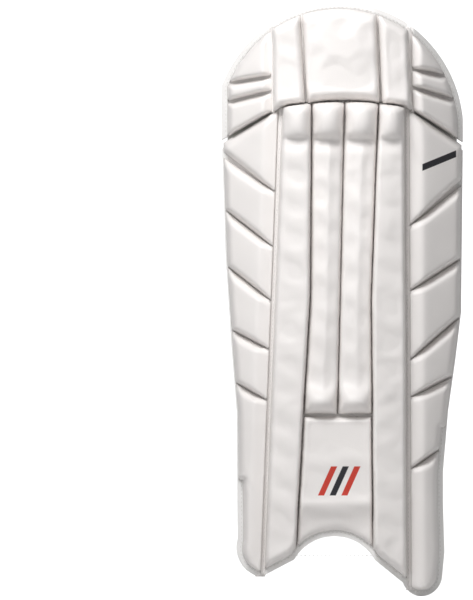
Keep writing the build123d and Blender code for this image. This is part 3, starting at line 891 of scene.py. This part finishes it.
def sew(name, runs, thread, body=None):
    """Stitches along runs of 3-D points, as one plain mesh."""
    sizes = bpy.context.scene.pad_sizes
    mesh = bpy.data.meshes.new(name)
    vertices = [tuple(p) for run in runs for p in run]
    edges, start = [], 0
    for run in runs:
        edges += [(start + k, start + k + 1) for k in range(len(run) - 1)]
        start += len(run)
    mesh.from_pydata(vertices, edges, [])
    piece = new_object(name, mesh)
    tree = bpy.data.node_groups.get("stitches") or stitch_tree()
    modifier = piece.modifiers.new("stitches", "NODES")
    modifier.node_group = tree
    values = {
        "Pitch": sizes.stitch_pitch,
        "Length": sizes.stitch_length,
        "Radius": sizes.thread,
        "Thread": thread,
    }
    for item in tree.interface.items_tree:
        if item.in_out == "INPUT" and item.name in values:
            modifier[item.identifier] = values[item.name]
    apply_modifiers(piece)
    piece.data.shade_smooth()
    return own(piece, body, ())


def runs_inside(points, loops):
    """The stretches of a closed run of points that lie in any of the loops."""
    keep = np.any([inside(points, loop) for loop in loops], axis=0)
    first = int(np.argmin(keep))
    points, keep = np.roll(points, -first, axis=0), np.roll(keep, -first)
    breaks = np.flatnonzero(np.diff(keep.astype(int))) + 1
    found = [run for run, kept in zip(np.split(points, breaks), np.split(keep, breaks)) if kept[0]]
    return [run for run in found if len(run) > 3]


def set_out(loop, distance):
    """The loop's points moved outwards."""
    run = np.roll(loop, -1, axis=0) - np.roll(loop, 1, axis=0)
    way = np.column_stack((run[:, 1], -run[:, 0]))
    return loop + way / np.maximum(np.hypot(way[:, 0], way[:, 1])[:, None], 1e-9) * distance


# --- finishes shared by several pieces ---


def finishes():
    """The object's finishes by name."""
    colours = bpy.context.scene.pad_colours
    return {
        "facing": leather("white_leather", colours),
        "instep_facing": leather("white_leather_bars", colours, slanted_bars),
        "stripe_facing": leather("white_leather_stripe", colours, slanted_stripe),
        "lining": woven("lining_cloth", colours.cloth, 2.2 * MM, 0.25 * MM),
        "padding": woven("padding_cloth", [c * 0.97 for c in colours.cloth], 1.8 * MM, 0.2 * MM),
        "binding": woven("binding_tape", colours.tape, 1.3 * MM, 0.2 * MM, 0.8),
        "webbing": woven("strap_webbing", colours.tape, 2.6 * MM, 0.5 * MM, 0.75, by_uv=True),
        "hook": woven("hook_tape", (0.66, 0.66, 0.65), 1.6 * MM, 0.3 * MM, 0.9),
        "thread": plain_thread("white_thread", (0.86, 0.84, 0.81)),
        "steel": nickel("nickel_wire"),
        "cane": cane("bare_cane"),
    }


SHOP = {}


def shop():
    """The finishes and the three grounds, made on first use."""
    if not SHOP:
        SHOP["finishes"] = finishes()
        sizes = bpy.context.scene.pad_sizes
        SHOP["shin"] = Ground(sizes)
        SHOP.update((side, Ground(sizes, side)) for side in INNER_SIDE)
    return SHOP


# --- operators, one for each piece or group of like pieces ---


class PadOperator:
    bl_options = {"REGISTER", "UNDO"}

    def execute(self, context):
        made = shop()
        self.build(context.scene.pad_sizes, made["finishes"], made)
        return {"FINISHED"}


KNOB_POWER, KNOB_ROUND = 2.3, 0.45
RIDGE_PLACE, RIDGE_SOFT, RIDGE_SHARE = 0.08, 0.07, 0.36
BULB_RISE = 8 * MM
# Sections of the webs: outwards from the seam and down from the facing's rear in mm, on the wing's plane, rise
SEAM_SECTION = (
    (-1.6, 0.0, False, 0.3),
    (0.0, -0.5, False, 0.3),
    (0.8, 0.2, False, 0.12),
    (1.7, -0.5, False, 0.3),
    (3.2, 0.2, True, 0.5),
    (9.0, 0.3, True, 0.5),
)
CROWN_SECTION = ((-2.0, 0.1, False, 0.4), (0.4, -0.3, False, 0.4), (2.4, 0.1, True, 0.4), (8.0, 0.3, True, 0.5))


class PAD_OT_rolls(PadOperator, bpy.types.Operator):
    """Four vertical rolls, each stuffed up into its knob at the knee"""

    bl_idname = "pad.rolls"
    bl_label = "Rolls"

    def build(self, sizes, finish, ground):
        rolls = (("outer", "left"), ("middle", "left"), ("middle", "right"), ("outer", "right"))
        for number, (place, side) in enumerate(rolls, start=1):
            roll, knob = f"{place}_roll_{side}", f"knee_roll_{number}"
            loop = joined(outlines(roll)[0], outlines(knob)[0])
            for edge in ("left", "right"):
                if place == "middle" or edge != side:
                    loop = stretched(loop, edge, sizes.tuck / 3)
            neck, top = (corner.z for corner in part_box(knob))
            height_at = self.height(place == "middle", loop[:, 1].min(), neck, top, sizes)
            cover(roll, [roll, knob], [loop], ground["shin"], "shin_guard", finish["facing"], height_at, 1.5 * MM)

    def height(self, ridged, low, neck, top, sizes):
        """The roll's section along its length: an end, a long body, a neck and a knob."""

        def height_at(points, loop):
            z = points[:, 1]
            place = place_across(points, loop)
            across = np.sqrt(np.maximum(0.0, 1 - np.abs(place) ** KNOB_POWER))
            half = (top - neck) / 2 + 1 * MM
            along = np.abs((z - neck - half) / half) ** KNOB_POWER + KNOB_ROUND * np.abs(place) ** 2.6
            knob = np.sqrt(np.maximum(0.0, 1 - along)) * (z > neck)
            neck_dip = hump(z, neck - 3 * MM, 9 * MM) * (z <= neck)
            ends = dome(top + 2 * MM - z, 12 * MM)
            round_part = knob
            if ridged:
                end = hump(z, low + 14 * MM, 13 * MM)
                ridge = 1 - np.hypot(place - RIDGE_PLACE, RIDGE_SOFT)
                body = sizes.middle_roll * (1 - RIDGE_SHARE + RIDGE_SHARE * ridge)
                body = body * (1 - end) + (sizes.middle_roll + BULB_RISE) * end
                round_part = np.maximum(end, knob)
                ends = ends * dome(z - low, 13 * MM)
            else:
                body = sizes.outer_roll * (0.93 + 0.07 * (1 - place**2))
            height = body - 3 * MM * neck_dip * (1.0 if ridged else 0.6)
            height = height + (sizes.knee_roll + 1 * MM - height) * knob
            narrow = swell(points, loop, around(13, 9, 4, 4), dome)
            share = narrow * (1 - round_part) + across * ends * round_part
            sides = by_side(loop)
            height = height + 0.7 * MM * gathers(points, *sides["top"], 6 * MM, 8 * MM)
            if not ridged:
                height = height + 0.5 * MM * gathers(points, *sides["foot"], 8 * MM, 9 * MM)
            return height, share

        return height_at


class PAD_OT_crown(PadOperator, bpy.types.Operator):
    """The crown's three stuffed panels and its moulded side blocks"""

    bl_idname = "pad.crown"
    bl_label = "Crown"

    def build(self, sizes, finish, ground):
        panels = (
            ("crown_centre_panel", around(12, 9, 5, 5), 6 * MM),
            ("crown_side_panel_left", around(9, 8, 6, 8), 2 * MM),
            ("crown_side_panel_right", around(9, 8, 8, 6), 2 * MM),
        )
        for node, widths, crowning in panels:
            loops = [stretched(loop, "foot", sizes.tuck) for loop in outlines(node)]

            def height_at(points, loop, widths=widths, crowning=crowning):
                near = from_edge(points, loop)
                roll = 2.0 * MM * hump(points[:, 1], loop[:, 1].min() + 9 * MM, 9 * MM)
                pull = 0.4 * MM * gathers(points, *by_side(loop)["foot"], 7 * MM, 6 * MM)
                body = sizes.crown - crowning + crowning * dome(near, 34 * MM) + roll + pull
                return body, swell(points, loop, widths, dome)

            cover(node, [node], loops, ground["shin"], "shin_guard", finish["facing"], height_at, 1.5 * MM)
        for side, inner in INNER_SIDE.items():
            node = f"crown_blocks_{side}"
            loops = [stretched(loop, inner, sizes.tuck) for loop in outlines(node)]
            blocks = block_height(sizes.wing_panel, inner, 9, 5)
            cover(node, [node], loops, ground[side], "shin_guard", finish["facing"], blocks)


def block_height(thick, inner, inner_width, top_width, puckers=0.0):
    """A moulded block's height: flat, with a wide bevel along its seam and a narrower one on top."""
    widths = around(top_width, 3, *((inner_width, 4) if inner == "left" else (4, inner_width)))

    def height_at(points, loop):
        body = thick - 0.8 * MM + 0.8 * MM * dome(from_edge(points, loop), 22 * MM)
        if puckers:
            body = body + puckers * gathers(points, *by_side(loop)["foot"], 6 * MM, 12 * MM)
        return body, swell(points, loop, widths, bevel)

    return height_at


def seam_x(side, z):
    """x of a wing's long seam at a height."""
    joint = JOINTS[f"{side}_wing_flex"]
    foot, axis = joint["pos_m"], joint["axis"]
    return foot[0] + (z - foot[2]) * axis[0] / axis[2]


class PAD_OT_wings(PadOperator, bpy.types.Operator):
    """Six moulded panels on each wing"""

    bl_idname = "pad.wings"
    bl_label = "Wing panels"

    def build(self, sizes, finish, ground):
        for side, inner in INNER_SIDE.items():
            for number in range(1, 7):
                node = f"wing_panel_{side}_{number}"
                loops = []
                for loop in outlines(node):
                    edge = edge_of(loop, inner)
                    gap = np.abs(edge[:, 0] - seam_x(side, edge[:, 1])).mean()
                    loop = stretched(loop, inner, gap - sizes.web_reach)
                    if number == 1:
                        out = np.abs(loop[:, 0] - seam_x(side, loop[:, 1]))
                        upper = loop[:, 1] > np.interp(out, (0, out.max()), (0.2, 0.17))
                        loop[:, 1] += np.where(upper, 4.5 * MM * out / out.max(), 0.0)
                    loops.append(stretched(loop, "foot", sizes.tuck * 0.7) if number < 6 else loop)
                look = finish["stripe_facing" if side == "right" and number == 1 else "facing"]
                height_at = block_height(sizes.wing_panel, inner, 14, 7, 0.7 * MM if number == 6 else 0.0)
                cover(node, [node], loops, ground[side], f"{side}_wing", look, height_at)


class PAD_OT_webs(PadOperator, bpy.types.Operator):
    """Leather webs over the long seams, which fold from the shin onto the wings"""

    bl_idname = "pad.webs"
    bl_label = "Seam webs"

    def build(self, sizes, finish, ground):
        for side, way in (("left", -1), ("right", 1)):
            planes = (ground["shin"], ground[side])
            edge = edge_of(outlines(f"outer_roll_{side}")[0], side)
            tape = node_points(f"wing_binding_{side}")
            foot = tape[np.abs(tape[:, 0] - seam_x(side, tape[:, 2])) < 6 * MM, 2].min() + 0.4 * MM
            heights = np.linspace(max(foot, edge[0, 1] - 12 * MM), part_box("knee_roll_1")[1].z, 130)
            seam = seam_x(side, heights)
            piece = self.web(f"seam_web_{side}", seam, heights, SEAM_SECTION, planes, way, finish["facing"])
            row = planes[0].points(np.column_stack((seam + way * 0.8 * MM, heights)), sizes.backing)
            stitches = sew(f"seam_stitches_{side}", [row], finish["thread"])
            joint = JOINTS[f"{side}_wing_flex"]
            across = Vector((0, 1, 0)).cross(Vector(joint["axis"])).normalized()
            across *= way * (1 if across.x > 0 else -1)
            foot = Vector(joint["pos_m"])
            for each in (piece, stitches):
                foot - across * MM
                foot + across * 8 * MM
                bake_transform(each)
            edge = edge_of(outlines(f"crown_side_panel_{side}")[0], side)
            heights = np.linspace(edge[0, 1] - 2 * MM, edge[-1, 1] + sizes.tape, 50)
            seam = np.interp(heights, edge[:, 1], edge[:, 0])
            slant = np.linspace(0, 1, 50) ** 6
            piece = self.web(f"crown_web_{side}", seam, heights, CROWN_SECTION, planes, way, finish["facing"], slant)
            own(piece, "shin_guard")

    def web(self, name, seam, heights, section, planes, way, material, slant=None):
        """A strip of leather that follows a seam and folds from one plane to the other."""
        backing = planes[0].sizes.backing
        front, shares = [], []
        for number, middle in enumerate(seam):
            for out, depth, on_wing, rise in section:
                z = heights[number] - (0.0 if slant is None else slant[number] * max(0.0, out) * MM)
                x = middle + way * out * MM
                front.append((x, planes[on_wing].y(x, z, backing - depth * MM), z))
                shares.append(rise)
        return self.strip(name, front, len(section), way, material, shares)

    def strip(self, name, front, width, way, material, shares, thick=0.7 * MM):
        """A closed strip from rows of points along its front."""
        rows = len(front) // width
        back = [(x, y + thick, z) for x, y, z in front]
        start = len(front)
        faces = []
        for row in range(rows - 1):
            for k in range(width - 1):
                a = row * width + k
                b, c, d = a + 1, a + 1 + width, a + width
                faces += [(a, b, c, d), (start + d, start + c, start + b, start + a)]
            for a, b in ((row * width, (row + 1) * width), ((row + 2) * width - 1, (row + 1) * width - 1)):
                faces.append((a, b, start + b, start + a))
        for row, turn in ((0, 1), (rows - 1, -1)):
            for k in range(width - 1):
                a, b = row * width + k, row * width + k + 1
                faces.append((a, start + a, start + b, b)[::turn])
        faces = faces if way > 0 else [face[::-1] for face in faces]
        return make_piece(name, front + back, faces, shares * 2, material)


FOLD_Z, FALL_TOP, FALL_LENGTH, FALL_DEPTH = -0.150, -0.146, 32 * MM, 6.5 * MM


class PAD_OT_instep(PadOperator, bpy.types.Operator):
    """The instep pad with its plain bars"""

    bl_idname = "pad.instep"
    bl_label = "Instep pad"

    def build(self, sizes, finish, ground):
        def height_at(points, loop):
            z = points[:, 1]
            fall = np.clip((FALL_TOP - z) / FALL_LENGTH, 0, 1)
            fold = 1.6 * MM * hump(z, FOLD_Z, 8 * MM) - FALL_DEPTH * fall**2 * (3 - 2 * fall)
            return sizes.instep + fold, swell(points, loop, around(5, 8, 4, 4), dome)

        loops, look = outlines("instep_pad"), finish["instep_facing"]
        cover("instep_pad", ["instep_pad"], loops, ground["shin"], "shin_guard", look, height_at, 1.2 * MM)


def crown_part(loop):
    """Which ground one of the crown's three parts lies on."""
    middle = loop[:, 0].mean()
    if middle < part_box("crown_side_panel_left")[0].x:
        return "left"
    return "right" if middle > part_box("crown_side_panel_right")[1].x else "shin"


QUILT_BASE, QUILT_THIN, QUILT_SWELL, QUILT_STEP = 2 * MM, 1.2 * MM, 0.8 * MM, 3.2 * MM
ROW_MARGIN, ROW_LEAST = 3, 8  # points left off each end of a quilting row, and the fewest in one


class PAD_OT_linings(PadOperator, bpy.types.Operator):
    """Quilted cloth on the rear, and the cloth behind the knee seam"""

    bl_idname = "pad.linings"
    bl_label = "Linings"

    def build(self, sizes, finish, ground):
        for node, part, body in (
            ("shin_lining", "shin", "shin_guard"),
            ("wing_lining_left", "left", "left_wing"),
            ("wing_lining_right", "right", "right_wing"),
        ):
            self.quilt(node, node, outlines(node, toward=1), ground[part], body, sizes, finish)
        for loop in outlines("crown_lining", toward=1):
            part = crown_part(loop)
            self.quilt("crown_lining", f"crown_lining_{part}", [loop], ground[part], "shin_guard", sizes, finish)
        gusset = rounded_copy("knee_gusset", finish["lining"], "shin_guard", 0.2 * MM, 1)

    def quilt(self, node, name, loops, ground, body, sizes, finish):
        """Soft rows between lines of stitching, which swell to the rear from the backing."""

        def rise_at(points, loop):
            row = np.abs(np.sin(points[:, 1] / sizes.quilt_pitch * pi))
            edge = np.clip(from_edge(points, loop) / (4 * MM), 0, 1)
            depth = QUILT_THIN + QUILT_SWELL * np.sqrt(row) * edge
            return -depth, np.ones(len(points))

        vertices, faces, shares = relief(loops, ground, QUILT_BASE, rise_at, QUILT_STEP, rear=True)
        piece = make_piece(f"{name}_quilt", vertices, faces, shares, finish["lining"], body, [node])
        rows = []
        for loop in loops:
            low, high = loop.min(axis=0), loop.max(axis=0)
            for k in range(int(np.ceil(low[1] / sizes.quilt_pitch)), int(high[1] / sizes.quilt_pitch) + 1):
                across = np.arange(low[0], high[0], 1 * MM)
                level = np.column_stack((across, np.full(len(across), k * sizes.quilt_pitch)))
                kept = level[inside(level, loop)][ROW_MARGIN:-ROW_MARGIN]
                if len(kept) > ROW_LEAST:
                    rows.append(ground.points(kept, 0.65 * MM))
        sew(f"{name}_stitches", rows, finish["thread"], body)


class PAD_OT_cushions(PadOperator, bpy.types.Operator):
    """The padding against the leg: cushion, bolsters and knee cup"""

    bl_idname = "pad.cushions"
    bl_label = "Leg padding"

    def build(self, sizes, finish, ground):
        for node, voxel, cap in (
            ("shin_cushion", 4 * MM, 2 * MM),
            ("shin_bolster_left", 4 * MM, 2.5 * MM),
            ("shin_bolster_right", 4 * MM, 2.5 * MM),
            ("knee_cup", 4 * MM, 2 * MM),
        ):
            cushion_from(node, finish["padding"], "shin_guard", voxel, 4.0, cap)


class PAD_OT_bindings(PadOperator, bpy.types.Operator):
    """Woven tape round the edges, with its row of stitches"""

    bl_idname = "pad.bindings"
    bl_label = "Edge bindings"

    def build(self, sizes, finish, ground):
        for node, body, inner, part in (
            ("crown_binding", "shin_guard", "crown_backing", None),
            ("instep_binding", "shin_guard", "shin_backing", "shin"),
            ("wing_binding_left", "left_wing", "wing_backing_left", "left"),
            ("wing_binding_right", "right_wing", "wing_backing_right", "right"),
        ):
            rounded_copy(node, finish["binding"], body, 2.6 * MM, 4)
            tapes, rows = outlines(node), []
            for loop in outlines(inner):
                plane = ground[part or crown_part(loop)]
                for run in runs_inside(set_out(divided(loop, 2 * MM), 1.6 * MM), tapes):
                    rows.append(plane.points(run, sizes.backing + 0.1 * MM))
            sew(f"{node}_stitches", rows, finish["thread"], body)


class PAD_OT_seams(PadOperator, bpy.types.Operator):
    """Rows of stitches between the middle rolls and along the knee seam"""

    bl_idname = "pad.seams"
    bl_label = "Seam stitches"

    def build(self, sizes, finish, ground):
        edge = divided(edge_of(outlines("middle_roll_left")[0], "right"), 4 * MM)
        edge = edge[np.argsort(edge[:, 1])] + (0.8 * MM, 0)
        rows = [ground["shin"].points(edge, sizes.backing + 0.9 * MM)]
        for node in ("crown_side_panel_left", "crown_centre_panel", "crown_side_panel_right"):
            foot = edge_of(outlines(node)[0], "foot") - (0, 1.9 * MM)
            rows.append(ground["shin"].points(foot, sizes.backing + 2.2 * MM))
        sew("seam_stitches", rows, finish["thread"], "shin_guard")


class PAD_OT_straps(PadOperator, bpy.types.Operator):
    """Webbing, comfort pads, hook and loop, tabs and keepers"""

    bl_idname = "pad.straps"
    bl_label = "Straps"

    def build(self, sizes, finish, ground):
        for name in STRAPS:
            body = f"strap_{name}_body"
            centre = circle_centre(f"strap_hook_{name}")
            rounded_copy(f"strap_{name}", finish["webbing"], body, 0.5 * MM, 2, wrap_uv(centre))
            rounded_copy(f"strap_hook_{name}", finish["hook"], body, 0.2 * MM, 2)
            pad, look = f"strap_pad_{name}", finish["padding"]
            cushion_from(pad, look, body, 2.6 * MM, 3.0, 1.2 * MM, inset=0.4 * MM)
            self.box_stitch(name, centre, finish["thread"], body)
        middle = circle_centre("loop_patches")
        rounded_copy("closure_tabs", finish["webbing"], "right_wing", 0.4 * MM, 2, wrap_uv(middle))
        rounded_copy("ring_keepers", finish["webbing"], "left_wing", 0.4 * MM, 2, wrap_uv(middle))
        rounded_copy("loop_patches", finish["hook"], "right_wing", 0.2 * MM, 2)
        self.plate_stitches("closure_tabs", ground["right"], 1, 2.0 * MM, finish["thread"], "right_wing")
        self.plate_stitches("ring_keepers", ground["left"], -1, 1.8 * MM, finish["thread"], "left_wing")

    def box_stitch(self, name, centre, thread, body):
        """A crossed box of stitches near the free end of the part that is folded back through the ring."""
        points = node_points(f"strap_{name}")
        away = points[:, :2] - centre
        radius = np.hypot(away[:, 0], away[:, 1])
        outer = points[radius > radius.max() - 0.3 * MM]
        turns = np.arctan2(outer[:, 1] - centre[1], outer[:, 0] - centre[0])
        turns = (turns + pi / 2) % (2 * pi) - pi / 2
        start, middle = turns.max() - 32 * MM / radius.max(), (outer[:, 2].min() + outer[:, 2].max()) / 2
        end, tall = start + 24 * MM / radius.max(), 13 * MM
        reach = radius.max() + 0.15 * MM
        row = [
            (centre[0] + reach * cos(turn), centre[1] + reach * sin(turn), middle + up)
            for turn, up in crossed_box(start, end, tall)
        ]
        sew(f"strap_{name}_stitches", [row], thread, body)

    def plate_stitches(self, node, ground, way, thick, thread, body):
        """A crossed box on each plate that is sewn to the lining."""
        points, rows = node_points(node), []
        points = points[np.abs(ground.lift(points) + thick / 2) < thick / 2 + 0.1 * MM]
        for name in STRAPS:
            middle = sum(corner.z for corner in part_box(f"ring_{name}")) / 2
            level = points[np.abs(points[:, 2] - middle) < 25 * MM]
            inner = level[:, 0].min() if way > 0 else level[:, 0].max()
            long = 17 * MM * abs(ground.normal.y)
            start, tall = inner + way * 2.5 * MM, 14 * MM
            end = start + way * long
            flat = np.array(crossed_box(start, end, tall)) + (0, middle)
            rows.append(ground.points(flat, -thick - 0.15 * MM))
        sew(f"{node}_stitches", rows, thread, body)


def crossed_box(start, end, tall):
    """Points round a box and along one diagonal: (place along, height from the middle)."""
    corners = [(start, -tall), (end, -tall), (end, tall), (start, tall), (start, -tall), (end, tall)]
    return [
        (a + (b - a) * share, low + (high - low) * share)
        for (a, low), (b, high) in zip(corners, corners[1:])
        for share in np.linspace(0, 1, 12, endpoint=False)
    ]


def circle_centre(node):
    """The centre, seen from above, of the circle that a curved CAD node follows."""
    points = node_points(node)
    sums = np.column_stack((points[:, 0], points[:, 1], np.ones(len(points))))
    squares = points[:, 0] ** 2 + points[:, 1] ** 2
    fit = np.linalg.lstsq(sums, squares, rcond=None)[0]
    return fit[0] / 2, fit[1] / 2


WRAP_RADIUS = 0.14


def wrap_uv(centre):
    """Metres round a circle and up, for cloth that follows it."""

    def uv(place):
        x, y = place.x - centre[0], place.y - centre[1]
        return np.arctan2(x, -y) * WRAP_RADIUS, place.z

    return uv


class PAD_OT_core(PadOperator, bpy.types.Operator):
    """The covered foam backing, the canes and the rings"""

    bl_idname = "pad.core"
    bl_label = "Backing, canes and rings"

    def build(self, sizes, finish, ground):
        for node, body in (
            ("shin_backing", "shin_guard"),
            ("crown_backing", "shin_guard"),
            ("wing_backing_left", "left_wing"),
            ("wing_backing_right", "right_wing"),
        ):
            rounded_copy(node, finish["facing"], body, 1.2 * MM, 2)
        for name in STRAPS:
            rounded_copy(f"ring_{name}", finish["steel"], f"ring_{name}_body")
        canes = frame["nodes"]["cane_rods"].data
        canes.materials.clear()
        canes.materials.append(finish["cane"])


LIGHTS = (("key", (-0.30, -0.85, 1.10), 0.55, 15.0), ("fill", (-1.3, -1.5, 0.1), 1.2, 3.0))  # place, size, watts
WORLD_STRENGTH = 0.27
VIEW_HEIGHT, VIEW_DISTANCE, SENSOR = 0.618, 6.0, 36.0
VIEW_X, VIEW_BELOW_TOP = -0.1056, 0.306


class PAD_OT_stage(PadOperator, bpy.types.Operator):
    """A pale floor and backdrop, soft light and the camera"""

    bl_idname = "pad.stage"
    bl_label = "Stage"

    def build(self, sizes, finish, ground):
        low, high = CAD_BOUNDS
        self.backdrop(low, high)
        bpy.context.scene.view_settings.view_transform = "Standard"
        for lamp in LIGHTS:
            self.light(*lamp)
        world = bpy.context.scene.world or bpy.data.worlds.new("studio")
        bpy.context.scene.world = world
        world.use_nodes = True
        background = world.node_tree.nodes["Background"]
        background.inputs["Color"].default_value = (1.0, 1.0, 1.0, 1.0)
        background.inputs["Strength"].default_value = WORLD_STRENGTH
        self.camera(high)

    def backdrop(self, low, high):
        """A floor that curves up behind the object, clear when it is seen from its rear."""
        front, back, bend = low.y - 1.6, high.y + 0.5, 0.35
        profile = [(front, low.z), (back - bend, low.z)]
        for k in range(1, 9):
            turn = k / 8 * pi / 2
            profile.append((back - bend + bend * sin(turn), low.z + bend - bend * cos(turn)))
        profile.append((back, low.z + 2.4))
        vertices = [(x, y, z) for x in (-2.2, 2.2) for y, z in profile]
        count = len(profile)
        faces = [(k, k + count, k + count + 1, k + 1) for k in range(count - 1)]
        mesh = bpy.data.meshes.new("backdrop")
        mesh.from_pydata(vertices, [], faces)
        mesh.shade_smooth()
        paper = Finish("backdrop_paper")
        behind = Sock(paper, paper.tree.nodes.new("ShaderNodeNewGeometry").outputs["Backfacing"])
        seen = paper.node("ShaderNodeLightPath")
        glow = paper.mix(seen, (0.12, 0.12, 0.12), (0.97, 0.97, 0.97))
        paper.set(Base_Color=(0.55, 0.55, 0.55), Roughness=0.9, Alpha=1 - behind)
        paper.set(Emission_Color=glow, Emission_Strength=1.0)
        mesh.materials.append(paper.material)
        new_object("backdrop", mesh)

    def light(self, name, place, size, power):
        lamp = bpy.data.lights.new(name, "AREA")
        lamp.size, lamp.energy = size, power
        holder = new_object(name, lamp)
        holder.location = place
        holder.rotation_euler = (-Vector(place)).to_track_quat("-Z", "Y").to_euler()

    def camera(self, high):
        """Straight on, level with the shin, with the pad to the right of the middle."""
        lens = bpy.data.cameras.new("camera")
        lens.sensor_width = SENSOR
        lens.lens = SENSOR * VIEW_DISTANCE / VIEW_HEIGHT
        holder = new_object("camera", lens)
        holder.location = (VIEW_X, -VIEW_DISTANCE - 0.02, high.z - VIEW_BELOW_TOP)
        holder.rotation_euler = (pi / 2, 0.0, 0.0)
        bpy.context.scene.camera = holder


OPERATORS = (
    PAD_OT_rolls,
    PAD_OT_crown,
    PAD_OT_wings,
    PAD_OT_webs,
    PAD_OT_instep,
    PAD_OT_linings,
    PAD_OT_cushions,
    PAD_OT_bindings,
    PAD_OT_seams,
    PAD_OT_straps,
    PAD_OT_core,
    PAD_OT_stage,
)


class PAD_PT_panel(bpy.types.Panel):
    """The pad's pieces and sizes in the sidebar"""

    bl_idname = "PAD_PT_panel"
    bl_label = "Leg pad"
    bl_space_type = "VIEW_3D"
    bl_region_type = "UI"
    bl_category = "Leg pad"

    def draw(self, context):
        for group in (context.scene.pad_sizes, context.scene.pad_colours):
            for name in group.bl_rna.properties.keys():
                if name not in ("rna_type", "name"):
                    self.layout.prop(group, name)
        for operator in OPERATORS:
            self.layout.operator(operator.bl_idname)


CLASSES = (PadSizes, PadColours, *OPERATORS, PAD_PT_panel)


def register():
    for each in CLASSES:
        bpy.utils.register_class(each)
    bpy.types.Scene.pad_sizes = PointerProperty(type=PadSizes)
    bpy.types.Scene.pad_colours = PointerProperty(type=PadColours)


def unregister():
    del bpy.types.Scene.pad_colours
    del bpy.types.Scene.pad_sizes
    for each in reversed(CLASSES):
        bpy.utils.unregister_class(each)


def main():
    register()
    for operator in OPERATORS:
        getattr(bpy.ops.pad, operator.bl_idname.split(".")[1])()


if __name__ == "__main__":
    main()
